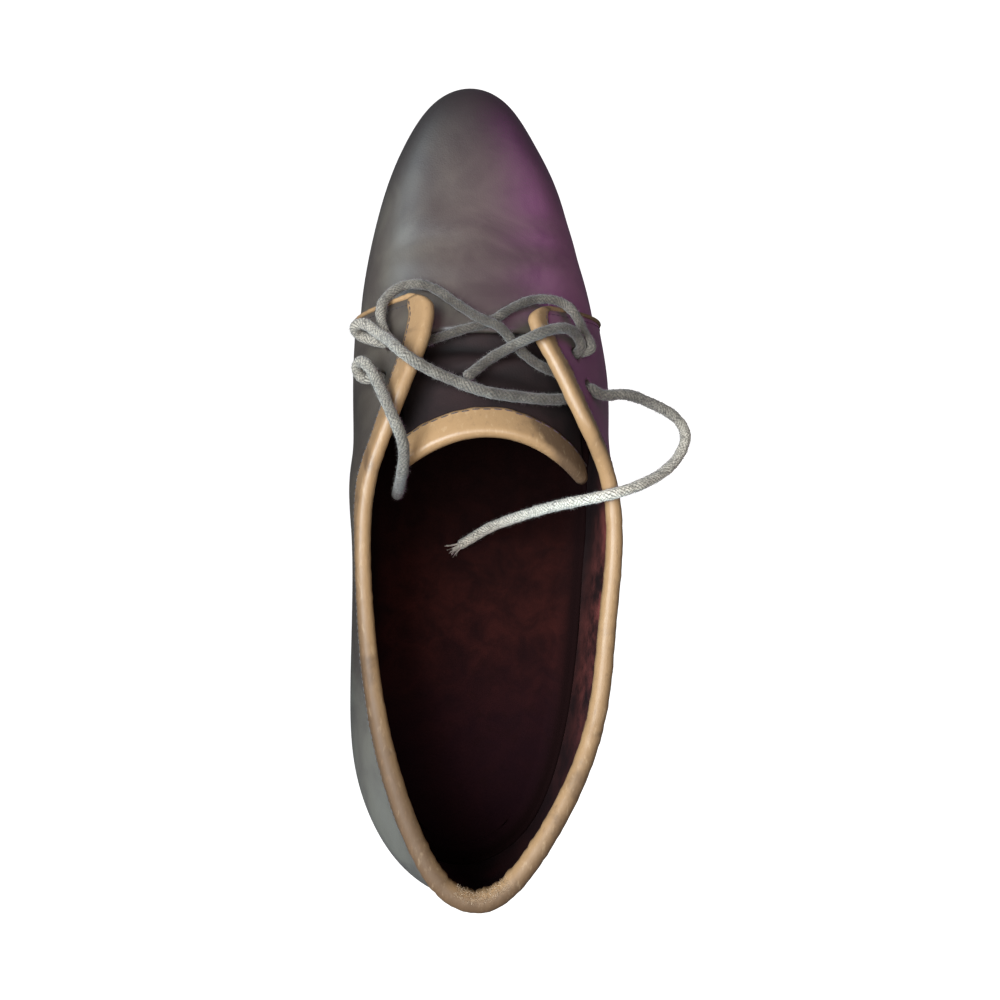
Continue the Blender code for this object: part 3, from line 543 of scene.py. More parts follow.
def rear_row(values, count):
    """Row of the quarters behind the flaps, from one row of the rib tables."""
    wide_x, wide_y, rise, inset, top_x, top_y, top_z, lean = values
    plan = np.array([wide_x, wide_y], float)
    heart_x, heart_y = HEEL_HEART
    towards = unit(np.array([heart_x - wide_x, max(heart_y - wide_y, 0.0)]))
    inner = plan + inset * towards
    foot = np.array([*inner, sole_top(inner[1]) + FOOT_GAP])
    wide = np.array([*plan, sole_top(wide_y) + rise])
    top = np.array([top_x, top_y, top_z], float)
    tilt = math.radians(lean)
    direction = np.array([*(towards * math.sin(tilt)), math.cos(tilt)])
    return resample(rib(foot, wide, top, direction, COLLAR_HANDLE * (top_z - wide[2])), count)


def grid_normals(grid):
    """Outward directions of a grid whose rows run round the shoe and whose columns rise."""
    around, upward = np.gradient(grid, axis=0), np.gradient(grid, axis=1)
    return unit(np.cross(around, upward))


def relief(points, creases):
    """Height of soft troughs and ridges that run between plan points."""
    x, y = points[..., 0], points[..., 1]
    height = np.zeros(x.shape)
    for start_x, start_y, end_x, end_y, bow, width, rise in creases:
        run = np.array([end_x - start_x, end_y - start_y])
        span = np.linalg.norm(run)
        ahead_x, ahead_y = run / span
        along = ((x - start_x) * ahead_x + (y - start_y) * ahead_y) / span
        fade = np.clip(1 - (2 * along - 1) ** 2, 0, 1)
        across = (y - start_y) * ahead_x - (x - start_x) * ahead_y - bow * fade
        height += rise * fade * np.exp(-(across / width) ** 2)
    return height


@functools.cache
def quarter_surface():
    """Outer surface of the quarters, from the inner front edge round the heel to the outer one."""
    count = QUARTER_POINTS
    rows = [flap_row(*values, -1, count) for values in INNER_FLAP]
    rows += [rear_row(values, count) for values in INNER_RIBS + (HEEL_RIB,) + OUTER_RIBS[::-1]]
    rows += [flap_row(*values, 1, count) for values in OUTER_FLAP[::-1]]
    rows = np.array(rows)
    steps = np.linalg.norm(np.diff(rows, axis=0), axis=2).mean(axis=1)
    along = np.concatenate([[0], np.cumsum(steps)])
    front, back = along[CORNER_ROWS], along[-CORNER_ROWS - 1]
    at = np.concatenate([
        np.linspace(0, front, CORNER_STATIONS, endpoint=False),
        np.linspace(front, back, QUARTER_STATIONS),
        np.linspace(back, along[-1], CORNER_STATIONS + 1)[1:]])
    return cubic(along, rows, at)


@functools.cache
def vamp_surface():
    """Outer surface of the vamp with its creases, from the outer throat round the toe to the inner one."""
    spread = np.linspace(1, 0, VAMP_STATIONS)
    ys = TIP_Y - (TIP_Y - THROAT_Y) * spread ** 2
    ribs = [resample(vamp_rib(y, 1), VAMP_POINTS) for y in ys]
    ribs += [resample(vamp_rib(y, -1), VAMP_POINTS) for y in ys[-2::-1]]
    grid = np.array(ribs)
    normals = grid_normals(grid)
    normals[:, -1] = unit(normals[:, -1] + normals[::-1, -1])
    return grid + normals * relief(grid, VAMP_CREASES)[..., None]


def refined_line(line, count):
    """A smooth curve through a line's points, evenly spaced."""
    along = arc_length(line)
    return resample(cubic(along, line, np.linspace(0, along[-1], LINE_FINENESS * count)), count)


def refined(grid, rows, columns):
    """A finer grid on the same smooth surface."""
    grid = cubic(np.arange(len(grid)), grid, np.linspace(0, len(grid) - 1, rows))
    turned = grid.swapaxes(0, 1)
    return cubic(np.arange(len(turned)), turned, np.linspace(0, len(turned) - 1, columns)).swapaxes(0, 1)


def vamp_height(x, y):
    """Height of the vamp's surface, continued backwards as the tongue's."""
    line = vamp_rib(y, -1 if x < column_curve(RIDGE, 1, y) else 1)[LOWER_POINTS + 2:]
    order = np.argsort(line[:, 0])
    return np.interp(x, line[order, 0], line[order, 2])


@functools.cache
def tongue_surface():
    """Outer surface of the tongue: rows run across from the outer side, columns rise to its top."""
    rows, columns = TONGUE_GRID
    grid = np.zeros((rows, columns, 3))
    for i, q in enumerate(np.linspace(1, -1, rows)):
        side_x, side_y = TONGUE_OUTER if q > 0 else TONGUE_INNER
        top_y = TONGUE_TOP_Y + (side_y - TONGUE_TOP_Y) * q * q
        for j, v in enumerate(np.linspace(0, 1, columns)):
            y = TONGUE_FRONT_Y + v * (top_y - TONGUE_FRONT_Y)
            crest = column_curve(RIDGE, 1, y)
            x = crest + abs(q) * (side_x - crest)
            grid[i, j] = x, y, vamp_height(x, y)
    grid = refined(grid - grid_normals(grid) * TONGUE_DROP, *TONGUE_FINE_GRID)
    return grid + grid_normals(grid) * relief(grid, TONGUE_CREASES)[..., None]


@functools.cache
def lower_ribs(side):
    """Ribs of the upper on one side, from the toe back towards the heel, and last the heel's own."""
    flap, ribs = (INNER_FLAP, INNER_RIBS) if side < 0 else (OUTER_FLAP, OUTER_RIBS)
    vamp_back = FRONT_EDGE_Y + 2 * SOLE_MARGIN
    ys = TIP_Y - (TIP_Y - vamp_back) * np.linspace(0, 1, TOE_RIBS) ** 2
    lines = [vamp_rib(y, side) for y in ys]
    lines += [flap_row(*values, side, QUARTER_POINTS) for values in flap[CORNER_ROWS + 1::2]]
    return lines + [rear_row(values, QUARTER_POINTS) for values in (*ribs, HEEL_RIB)]


def rib_spot(line, height):
    """Plan point of a rib at a height above its foot."""
    level = line[0, 2] + height
    return np.array([np.interp(level, line[:LOWER_POINTS, 2], line[:LOWER_POINTS, k]) for k in (0, 1)])


def sole_side(side, margin, count, start_y=TIP_Y, height=0.0):
    """Plan points of one side of the sole, from the toe, or from start_y, back to the middle of the heel.

    They lie at a margin outside the upper's outer face, at a height above its lower edge.
    """
    near, far = [[rib_spot(line, height) for line in lower_ribs(s)] for s in (side, -side)]
    feet = np.array(near + far[-2::-1])
    along = arc_length(feet)
    turn = along[len(near) - 1]
    at = np.concatenate([np.linspace(0, turn, SIDE_SAMPLES), np.linspace(turn, along[-1], SIDE_SAMPLES)[1:]])
    loop = cubic(along, feet, at)
    run = unit(np.gradient(loop, axis=0))
    run[0] = (side, 0)
    line = (loop + margin * np.stack([-run[:, 1], run[:, 0]], axis=1) * side)[:SIDE_SAMPLES]
    if start_y < TIP_Y:
        rear = line[SIDE_SAMPLES // 2:]
        cut_x = np.interp(-start_y, -rear[:, 1], rear[:, 0])
        line = np.concatenate([[[cut_x, start_y]], rear[rear[:, 1] < start_y]])
    return resample(line, count)


def placed(points):
    """Shoe millimetres as metres in the frame."""
    return (np.asarray(points, float) - MIDDLE) * MM


def sheet_faces(rows, columns, wrap=False):
    """Quads of a grid, closed round its columns where it wraps."""
    index = np.arange(rows * columns).reshape(rows, columns)
    if wrap:
        index = np.concatenate([index, index[:, :1]], axis=1)
    quads = np.stack([index[:-1, :-1], index[1:, :-1], index[1:, 1:], index[:-1, 1:]], axis=-1)
    return quads.reshape(-1, 4).tolist()


def mesh_piece(name, points, faces, materials, merge=0.0, closed=False, edges=()):
    """A smooth object from shoe millimetres; a closed one has its faces turned outwards."""
    mesh = bpy.data.meshes.new(name)
    mesh.from_pydata(placed(points).reshape(-1, 3).tolist(), list(edges), faces)
    if merge or closed:
        shape = bmesh.new()
        shape.from_mesh(mesh)
        if merge:
            bmesh.ops.remove_doubles(shape, verts=shape.verts, dist=merge * MM)
        if closed:
            bmesh.ops.recalc_face_normals(shape, faces=shape.faces)
        shape.to_mesh(mesh)
        shape.free()
    for material in materials:
        mesh.materials.append(material)
    mesh.shade_smooth()
    made = bpy.data.objects.new(name, mesh)
    bpy.context.scene.collection.objects.link(made)
    return made


def finished(made):
    """Replaces an object's mesh by its evaluated mesh and clears its modifiers."""
    bpy.context.view_layer.update()
    graph = bpy.context.evaluated_depsgraph_get()
    mesh = bpy.data.meshes.new_from_object(made.evaluated_get(graph))
    made.modifiers.clear()
    made.data = mesh
    return made


def wall_piece(name, grid, thickness, materials, merge=0.0):
    """A wall with its outer face on the grid: first material outside, second inside."""
    made = mesh_piece(name, grid, sheet_faces(*grid.shape[:2]), materials, merge)
    wall = made.modifiers.new("Wall", "SOLIDIFY")
    wall.thickness = thickness * MM
    wall.offset = -1.0
    wall.use_even_offset = True
    wall.material_offset = 1
    return made


def declared(made, slot, *nodes):
    """Fixes a piece to the shoe's body and hides the solids that it stands for. The slot is not used."""
    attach(made, "root")
    if nodes:
        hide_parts(*nodes)
    return made


def name_values(made, name, values):
    """Stores one number for each point of a mesh, for its material."""
    stored = made.data.attributes.new(name, "FLOAT", "POINT")
    stored.data.foreach_set("value", np.ravel(values).astype(np.float32))


def shoe_points(made):
    """Points of an object's mesh in shoe millimetres."""
    return np.array([point.co for point in made.data.vertices]) / MM + MIDDLE


def store_hollows(made, creases):
    """Stores how deep each point of a piece lies in its creases."""
    deepest = 1.2
    name_values(made, "hollow", np.clip(-relief(shoe_points(made), creases) / deepest, 0, 1))


class Wire:
    """A shader socket in an expression: each operator adds the Math node that works it out."""

    def __init__(self, tree, socket=None):
        self.tree = tree
        self.socket = socket

    def add(self, kind, settings, sockets, output=0):
        """Adds a node: settings first, then the values or links of its sockets; gives one output."""
        node = self.tree.nodes.new(kind)
        for name, value in settings.items():
            setattr(node, name, value)
        for key, value in sockets.items():
            named = [s for s in node.inputs if s.identifier == key] if isinstance(key, str) else []
            socket = named[0] if named else node.inputs[key]
            if isinstance(value, Wire):
                self.tree.links.new(value.socket, socket)
            else:
                socket.default_value = value
        return Wire(self.tree, node.outputs[output]) if node.outputs else None

    def sibling(self, name):
        """Another output of the same node."""
        return Wire(self.tree, self.socket.node.outputs[name])

    def math(self, operation, first, second):
        """A Math node on two values."""
        return self.add("ShaderNodeMath", {"operation": operation}, {0: first, 1: second})

    def __add__(self, other):
        return self.math("ADD", self, other)

    def __sub__(self, other):
        return self.math("SUBTRACT", self, other)

    def __mul__(self, other):
        return self.math("MULTIPLY", self, other)

    def __rsub__(self, other):
        return self.math("SUBTRACT", other, self)

    __radd__ = __add__
    __rmul__ = __mul__

    def between(self, low, high):
        """Smooth step from 0 at low to 1 at high."""
        settings = {"interpolation_type": "SMOOTHSTEP"}
        return self.add("ShaderNodeMapRange", settings, {"Value": self, "From Min": low, "From Max": high})

    def noise(self, place, size, detail=2.0, roughness=0.55, distortion=0.0):
        """Cloudy noise with features of a size in millimetres, about 0.5 in the middle."""
        sockets = {"Vector": place, "Scale": 1 / (size * MM), "Detail": detail,
                   "Roughness": roughness, "Distortion": distortion}
        return self.add("ShaderNodeTexNoise", {}, sockets)

    def cells(self, place, size):
        """Cells of a size in millimetres: distance from each one's middle."""
        sockets = {"Vector": place, "Scale": 1 / (size * MM)}
        return self.add("ShaderNodeTexVoronoi", {"feature": "SMOOTH_F1"}, sockets, "Distance")

    def mix(self, factor, first, second):
        """Blend of two colours."""
        def colour(c):
            return c if isinstance(c, Wire) else (*c, 1.0)
        sockets = {"Factor_Float": factor, "A_Color": colour(first), "B_Color": colour(second)}
        return self.add("ShaderNodeMix", {"data_type": "RGBA"}, sockets, 2)

    def bump(self, height, depth, under=None):
        """Normal from a height of 0 to 1 that stands for a depth in millimetres."""
        sockets = {"Height": height, "Distance": depth * MM, "Strength": 1.0}
        if under:
            sockets["Normal"] = under
        return self.add("ShaderNodeBump", {}, sockets)

    def place(self):
        """Coordinates of the object, in metres."""
        return self.add("ShaderNodeTexCoord", {}, {}, "Object")

    def stretched(self, scale):
        """Object coordinates scaled along each axis."""
        return self.add("ShaderNodeMapping", {}, {"Vector": self.place(), "Scale": scale})

    def axis(self, name):
        """One of those coordinates."""
        return self.add("ShaderNodeSeparateXYZ", {}, {0: self.place()}, name)

    def stored(self, name):
        """A number stored on the mesh's points."""
        return self.add("ShaderNodeAttribute", {"attribute_name": name}, {}, "Fac")


def new_material(name):
    """An empty material and the wire that starts its nodes."""
    made = bpy.data.materials.new(name)
    made.use_nodes = True
    made.node_tree.nodes.clear()
    return made, Wire(made.node_tree)


def surfaced(made, wire, sockets):
    """Ends a material in one Principled shader."""
    shader = wire.add("ShaderNodeBsdfPrincipled", {}, sockets)
    wire.add("ShaderNodeOutputMaterial", {}, {"Surface": shader})
    return made


@functools.cache
def leather_material(name, light, deep, wax, roughness, gloss):
    """Smooth leather: soft clouds of two colours, fine pores, satin wax, a few scuffs, painted shade in the
    creases, and painted shade low down and towards the toe.

    Only the tongue stores its creases, so vamp and quarters have none of that shade.
    """
    looks = bpy.context.scene.derby_leather
    scuff, grime, painted_crease_shade = (0.16, 0.135, 0.125), (0.018, 0.014, 0.0135), (0.004, 0.003, 0.003)
    made, wire = new_material(name)
    place = wire.place()
    cloud = wire.noise(place, 24.0, detail=4.0, roughness=0.6, distortion=0.6)
    smear = wire.noise(wire.stretched((1.0, 0.35, 1.0)), 7.0, detail=4.0)
    pores = wire.cells(place, 0.62)
    skin = wire.noise(place, 0.22)
    scratch = wire.noise(wire.stretched((0.25, 1.6, 1.0)), 1.6, detail=3.0, roughness=0.7)
    scuffed = scratch.between(0.66, 0.80) * wire.noise(place, 30.0).between(0.52, 0.68)
    # Painted shade: the leather is drawn darker low down and towards the toe
    low = 1 - wire.axis("Z").between(0.018, 0.044)
    toe = wire.axis("Y").between(0.085, 0.150)
    body = wire.mix(cloud.between(0.30, 0.72), deep, light)
    body = wire.mix(scuffed * 0.35, body, scuff)
    body = wire.mix((low * 0.6 + toe * 0.75).between(0.0, 1.0), body, grime)
    # Painted shade in the stored creases
    body = wire.mix(wire.stored("hollow") * 0.75, body, painted_crease_shade)
    return surfaced(made, wire, {
        "Base Color": body,
        "Roughness": roughness - 0.06 + smear * 0.14 + scuffed * 0.15,
        "Normal": wire.bump(pores, looks.grain / MM, wire.bump(skin, 0.02)),
        "Coat Weight": cloud * wax,
        "Coat Roughness": 0.28,
        "Specular IOR Level": gloss})


def upper_materials():
    """Waxed leather outside and lining inside."""
    looks = bpy.context.scene.derby_leather
    waxed = leather_material("Grey-brown leather", tuple(looks.colour), tuple(looks.deep),
                             wax=0.2, roughness=looks.roughness, gloss=0.4)
    return [waxed, lining_material()]


def tongue_materials():
    """Duller, darker leather outside, its darkness partly painted shade, and lining inside."""
    looks = bpy.context.scene.derby_leather
    dull = leather_material("Dark tongue leather", tuple(looks.tongue), tuple(looks.tongue_deep),
                            wax=0.0, roughness=0.66, gloss=0.08)
    return [dull, lining_material()]


@functools.cache
def lining_material():
    """Matt red-brown lining leather inside the upper, with painted shade at the heel and low down."""
    looks = bpy.context.scene.derby_leather
    painted_heel_shade, painted_low_shade = (0.014, 0.007, 0.009), (0.007, 0.003, 0.003)
    made, wire = new_material("Red-brown lining")
    place = wire.place()
    cloud = wire.noise(place, 14.0, detail=4.0, roughness=0.65)
    heel = (0 - wire.axis("Y")).between(0.05, 0.12)
    low = 1 - wire.axis("Z").between(0.024, 0.062)
    body = wire.mix(cloud.between(0.3, 0.75), looks.stain, looks.lining)
    # Painted shade at the heel and low down
    body = wire.mix(heel * 0.75, body, painted_heel_shade)
    body = wire.mix(low, body, painted_low_shade)
    return surfaced(made, wire, {
        "Base Color": body,
        "Roughness": 0.5 + cloud * 0.2,
        "Normal": wire.bump(wire.cells(place, 0.8), 0.06),
        "Specular IOR Level": 0.2})


@functools.cache
def insole_material():
    """Plum sock lining, blotched by wear, with painted shade under the vamp, at the heel and up its rim."""
    looks = bpy.context.scene.derby_leather
    painted_front_shade, painted_heel_shade, painted_rim_shade = (0.004, 0.002, 0.002), (0.009, 0.0035, 0.005), (0.007, 0.003, 0.003)
    made, wire = new_material("Plum insole")
    place = wire.place()
    cloud = wire.noise(place, 9.0, detail=4.0, roughness=0.6, distortion=0.5)
    blotch = wire.noise(place, 4.6).between(0.55, 0.70)
    heel = (0 - wire.axis("Y")).between(0.045, 0.11)
    front = wire.axis("Y").between(-0.05, 0.0)
    body = wire.mix(cloud.between(0.2, 0.85), looks.stain, looks.insole)
    # Painted shade under the vamp, at the heel and up the rim
    body = wire.mix(front * 0.8, body, painted_front_shade)
    body = wire.mix(heel * 0.8, body, painted_heel_shade)
    body = wire.mix(blotch * 0.35, body, looks.stain)
    body = wire.mix(wire.stored("rim"), body, painted_rim_shade)
    return surfaced(made, wire, {
        "Base Color": body,
        "Roughness": 0.42 + cloud * 0.25,
        "Normal": wire.bump(cloud, 0.15, wire.bump(wire.cells(place, 0.7), 0.05)),
        "Specular IOR Level": 0.0})


@functools.cache
def edge_material():
    """Tan rolled leather: painted shade over its outer margin, darker down its inner margin, streaked along
    its length, with fine pores.
    """
    looks = bpy.context.scene.derby_edge
    dark_streak, pale_streak = (0.17, 0.10, 0.055), (0.60, 0.44, 0.28)
    made, wire = new_material("Tan rolled edge")
    place = wire.place()
    across = wire.stored("across")
    wear = wire.stored("wear")
    # Painted shade over the outer margin; the inner margin is drawn darker as well
    outer = (1 - (across - wear * 0.22).between(0.20, 0.50)) * (0.25 + wear * 0.6)
    inner = across.between(0.80, 0.99) * 0.4
    cloud = wire.noise(place, 11.0, detail=4.0, roughness=0.6, distortion=0.4)
    streak = wire.noise(wire.stretched((1.0, 0.28, 1.0)), 1.5, detail=3.0, roughness=0.65)
    wrinkle = wire.noise(wire.stretched((1.0, 0.5, 1.0)), 2.4, detail=3.0, roughness=0.6)
    worn_and_shaded = outer + inner + cloud.between(0.50, 0.78) * 0.4 + wear * 0.1
    body = wire.mix(worn_and_shaded.between(0.0, 1.0), looks.colour, looks.worn_and_shaded)
    body = wire.mix(streak.between(0.56, 0.74) * (0.35 + wear * 0.25), body, dark_streak)
    body = wire.mix(streak.between(0.44, 0.28) * 0.15, body, pale_streak)
    return surfaced(made, wire, {
        "Base Color": body,
        "Roughness": 0.30 + cloud * 0.2 + wear * 0.2,
        "Normal": wire.bump(wrinkle, 0.16, wire.bump(wire.cells(place, 0.55), 0.03)),
        "Coat Weight": cloud * (1 - wear).between(0.0, 1.0) * 0.7,
        "Coat Roughness": 0.22,
        "Specular IOR Level": 0.25})


@functools.cache
def lace_material():
    """Grey braided cotton with painted shade between the strands, grime where it has rubbed in the holes,
    painted shade over the crossings and the inner end's tip, and dark flecks.
    """
    looks = bpy.context.scene.derby_lace
    dark_fibre, dark_fleck = (0.035, 0.032, 0.030), (0.045, 0.038, 0.032)
    made, wire = new_material("Grey cotton lace")
    place = wire.place()
    raised = wire.stored("braid").between(0.15, 0.75)
    fibre = wire.noise(place, 0.45, detail=3.0, roughness=0.75)
    fleck = wire.noise(place, 1.5, detail=4.0, roughness=0.75).between(0.50, 0.66)
    cloud = wire.noise(place, 6.0, detail=3.0)
    # Painted shade between the strands
    clean = wire.mix(raised, looks.shade, looks.colour)
    grimy_and_shaded = wire.mix(raised, looks.grimy_shade, looks.grimy_and_shaded)
    # Grime where the lace rubbed, and painted shade over the crossings and the inner end
    body = wire.mix(wire.stored("grime") * (0.7 + 0.6 * cloud), clean, grimy_and_shaded)
    body = wire.mix(fibre.between(0.48, 0.62) * 0.6, body, dark_fibre)
    body = wire.mix(fleck * 0.68, body, dark_fleck)
    return surfaced(made, wire, {
        "Base Color": body,
        "Roughness": 0.75 + fibre * 0.2,
        "Normal": wire.bump(fibre, 0.25),
        "Sheen Weight": 0.25,
        "Specular IOR Level": 0.3})


@functools.cache
def fibre_material(name, dark, pale):
    """Loose fibres between two colours."""
    made, wire = new_material(name)
    tone = wire.noise(wire.place(), 2.0, detail=3.0, roughness=0.7)
    return surfaced(made, wire, {
        "Base Color": wire.mix(tone.between(0.3, 0.7), dark, pale),
        "Roughness": 0.85})


@functools.cache
def thread_material():
    """Dark waxed thread."""
    looks = bpy.context.scene.derby_stitch
    rubbed = (0.05, 0.04, 0.038)
    made, wire = new_material("Dark thread")
    twist = wire.noise(wire.place(), 0.5)
    return surfaced(made, wire, {
        "Base Color": wire.mix(twist, looks.colour, rubbed),
        "Roughness": 0.6})


@functools.cache
def sole_material():
    """Dark sole with dusty wear towards the floor."""
    looks = bpy.context.scene.derby_sole
    made, wire = new_material("Dark sole")
    place = wire.place()
    cloud = wire.noise(place, 11.0, detail=4.0, roughness=0.65)
    streak = wire.noise(wire.stretched((1.0, 1.0, 6.0)), 9.0, detail=3.0)
    low = 1 - wire.axis("Z").between(0.0, 0.006)
    dust = low * 0.45 + streak.between(0.55, 0.75) * 0.3
    return surfaced(made, wire, {
        "Base Color": wire.mix(dust * cloud, looks.colour, looks.dust),
        "Roughness": 0.45 + cloud * 0.3,
        "Normal": wire.bump(streak, 0.12, wire.bump(wire.noise(place, 0.5, detail=3.0), 0.06))})


def lines_from_top(grid):
    """Lines of a grid from its top edge down, each point followed by its outward direction."""
    return np.concatenate([grid, grid_normals(grid)], axis=2)[:, ::-1]


def below_top(line, depths):
    """Points and outward directions of such a line at depths below its top."""
    along = arc_length(line[:, :3])
    read = np.stack([np.interp(depths, along, column) for column in line.T], axis=-1)
    return read[..., :3], unit(read[..., 3:])


def strip_sections(grid, covered, depths, inner_depths, thickness):
    """Sections of a strip folded over the grid's top edge, and the place of each point across it."""
    snug, feather, crown_rise = 0.08, 0.45, 0.95
    share = np.linspace(0, 1, STRIP_FACE_POINTS)
    swell = feather + (1 - feather) * np.sin(share * np.pi / 2)
    turn = np.linspace(0, np.pi, CROWN_POINTS + 2)[1:-1, None]
    sections = []
    for line, depth, inner_depth, thick in zip(lines_from_top(grid), depths, inner_depths, thickness):
        rise = snug + thick * swell
        half = covered / 2 + snug + thick
        spots, outs = below_top(line, depth * (1 - share))
        inner_spots, inner_outs = below_top(line, inner_depth * (1 - share))
        up = unit(spots[-1] - spots[STRIP_FACE_POINTS // 2])
        heart = spots[-1] - outs[-1] * covered / 2
        outer = spots + outs * rise[:, None]
        crown = heart + half * (np.cos(turn) * outs[-1] + crown_rise * np.sin(turn) * up)
        inner = inner_spots - inner_outs * (covered + rise)[:, None]
        fold = [inner_spots[0] - inner_outs[0] * covered, spots[-1] - outs[-1] * covered, spots[-1], spots[0]]
        sections.append(np.concatenate([outer, crown, inner[::-1], fold]))
    shown = 2 * STRIP_FACE_POINTS + CROWN_POINTS
    across = np.concatenate([np.linspace(0, 1, shown), [1.0, 0.5, 0.5, 0.0]])
    return np.array(sections), across


def tube_faces(rings, sides, start=0):
    """Faces of a tube that is closed at both ends; its points begin at start."""
    faces = (np.array(sheet_faces(rings, sides, wrap=True)) + start).tolist()
    last = start + (rings - 1) * sides
    return faces + [list(range(first, first + sides)) for first in (start, last)]


def strip_piece(name, sections, across, wear):
    """A closed strip through its sections, capped at both ends, with its wear and painted shade along the
    length.
    """
    count, points = sections.shape[:2]
    made = mesh_piece(name, sections, tube_faces(count, points), [edge_material()], closed=True)
    name_values(made, "across", np.tile(across, count))
    shares, amounts = np.array(wear).T
    name_values(made, "wear", np.repeat(np.interp(np.linspace(0, 1, count), shares, amounts), points))
    return made


def collar_depths():
    """Depth of the collar's strip at each station, and the stations' places along it.

    It is full behind, narrower on the outer flap and narrowest at the flaps' corners.
    """
    corner_depth, corner_start, corner_run = 2.2, 1.0, 9.0
    flap_depth, flap_length, flap_run = 4.6, 75.0, 40.0
    full = bpy.context.scene.derby_edge.collar_depth / MM
    along = arc_length(quarter_surface()[:, -1])
    from_end = np.minimum(along, along[-1] - along)
    past_corner = np.clip((from_end - corner_start) / corner_run, 0, 1)
    wide = full + (flap_depth - full) * eased((along - along[-1] + flap_length) / flap_run)
    depth = corner_depth + (wide - corner_depth) * eased(past_corner)
    return depth + waves(along, COLLAR_WAVES) * past_corner, along


def collar_thickness(along):
    """Thickness of the collar's strip at each station: thin at the flaps, padded round the heel."""
    shares, swells = np.array(COLLAR_SWELL).T
    return bpy.context.scene.derby_edge.thickness / MM * np.interp(along / along[-1], shares, swells)


def tongue_depths():
    """Depth of the tongue's strip at each station: full in the middle, narrow at the outer end."""
    narrow_run, narrowing = 26.0, 2.6
    full = bpy.context.scene.derby_edge.tongue_depth / MM
    along = arc_length(tongue_surface()[:, -1])
    narrow = np.clip(1 - along / narrow_run, 0, 1)
    return full - narrowing * narrow * narrow + waves(along, TONGUE_WAVES)


def frames_along(path):
    """Two directions square to a path at each point, carried along it without twist."""
    ahead = unit(np.gradient(path, axis=0))
    side = np.zeros_like(path)
    side[0] = unit(np.cross(ahead[0], [0.0, 0.0, 1.0]))
    for i in range(1, len(path)):
        carried = side[i - 1] - ahead[i] * np.dot(side[i - 1], ahead[i])
        side[i] = unit(carried)
    return side, np.cross(ahead, side)


def tube_points(path, radii):
    """Rings of a round tube; radii has a number for each ring and each side."""
    side, over = frames_along(path)
    angle = np.linspace(0, 2 * np.pi, radii.shape[1], endpoint=False)
    ring = np.cos(angle)[None, :, None] * side[:, None] + np.sin(angle)[None, :, None] * over[:, None]
    return path[:, None] + ring * radii[..., None]


def lace_path(route):
    """Smooth middle line through a route's points, evenly spaced."""
    route = np.array(route, float)
    along = arc_length(route)
    count = int(round(along[-1] / CORD_SPACING)) + 1
    return cubic(along, route, np.linspace(0, along[-1], count))


def braid(along, angle):
    """Height of a round braid from 0 to 1: strands wind both ways and pass over and under each other."""
    strands, lay = 8, 1.35
    around, ahead = strands * angle[None] / (2 * np.pi), along[:, None] / lay
    left, right = around + ahead, around - ahead
    left_over = (np.floor(left) + np.floor(right)) % 2 < 1
    width, run = np.where(left_over, left, right) % 1, np.where(left_over, right, left) % 1
    return np.sin(np.pi * width) * (0.5 + 0.5 * np.sin(np.pi * run))


def lace_mesh(routes, wear_and_shade_rows):
    """Points, faces, braid heights, and grime with painted shade, of braided cords with rounded ends."""
    radius = bpy.context.scene.derby_lace.diameter / MM / 2
    weave_depth, end_round, least_end = 0.26, 1.2, 0.02
    lay_shift, lay_wave, lay_seed = 0.5, 11.0, 21
    slack_depth, slack_wave, slack_seed = 0.10, 9.0, 11
    angle = np.linspace(0, 2 * np.pi, CORD_SIDES, endpoint=False)
    points, faces, heights, grime = [], [], [], []
    start = 0
    for order, (route, (first, last, reach, left)) in enumerate(zip(routes, wear_and_shade_rows)):
        path = lace_path(route)
        along = arc_length(path)
        weave = braid(along + lay_shift * ripple(along, lay_wave, order + lay_seed), angle)
        slack = slack_depth * ripple(along, slack_wave, order + slack_seed)
        from_end = np.minimum(along, along[-1] - along)
        taper = np.sqrt(np.clip(1 - (1 - np.clip(from_end / end_round, 0, 1)) ** 2, least_end, 1))
        radii = (left * radius - weave_depth + weave_depth * weave + slack[:, None]) * taper[:, None]
        points.append(tube_points(path, radii).reshape(-1, 3))
        faces += tube_faces(len(path), CORD_SIDES, start)
        heights.append(weave.ravel())
        grime.append(np.repeat(first + (last - first) * eased(along / along[-1] / reach), CORD_SIDES))
        start += len(path) * CORD_SIDES
    return np.concatenate(points), faces, np.concatenate(heights), np.concatenate(grime)


def lace_piece(name, routes, wear_and_shade_rows):
    """One object of braided cords along their routes."""
    points, faces, heights, grime = lace_mesh(routes, wear_and_shade_rows)
    made = mesh_piece(name, points, faces, [lace_material()], closed=True)
    name_values(made, "braid", heights)
    name_values(made, "grime", grime)
    return made


def frayed_tip(name, route):
    """Fine threads that fan out from the end of a lace and lie on the insole."""
    strands, sides, steps, end_points, seed = 46, 5, 6, 6, 7
    reach, sunk, root, fan, thread, thinning = 6.5, 1.5, 1.2, 0.4, 0.14, 0.7
    least_spread, least_reach = 0.1, 0.35
    looks = bpy.context.scene.derby_lace
    draw = np.random.default_rng(seed)
    path = lace_path(route)
    side, over = [directions[-1] for directions in frames_along(path)]
    tip, ahead = path[-1], unit(path[-1] - path[-end_points])
    share = np.linspace(0, 1, steps)[:, None]
    points, faces = [], []
    for strand in range(strands):
        turn, spread = draw.uniform(0, 2 * np.pi), draw.uniform(least_spread, 1)
        out = np.cos(turn) * side + np.sin(turn) * over
        run = reach * draw.uniform(least_reach, 1)
        line = tip + (run * share - sunk) * ahead + (root + fan * run * share ** 2) * spread * out
        line[:, 2] = np.maximum(line[:, 2], sole_top(line[:, 1]) + INSOLE_THICK + thread)
        radii = np.repeat(thread * (1 - thinning * share), sides, axis=1)
        points.append(tube_points(line, radii).reshape(-1, 3))
        faces += tube_faces(steps, sides, strand * steps * sides)
    threads = fibre_material("Frayed lace threads", tuple(looks.shade), tuple(looks.colour))
    return mesh_piece(name, np.concatenate(points), faces, [threads], closed=True)


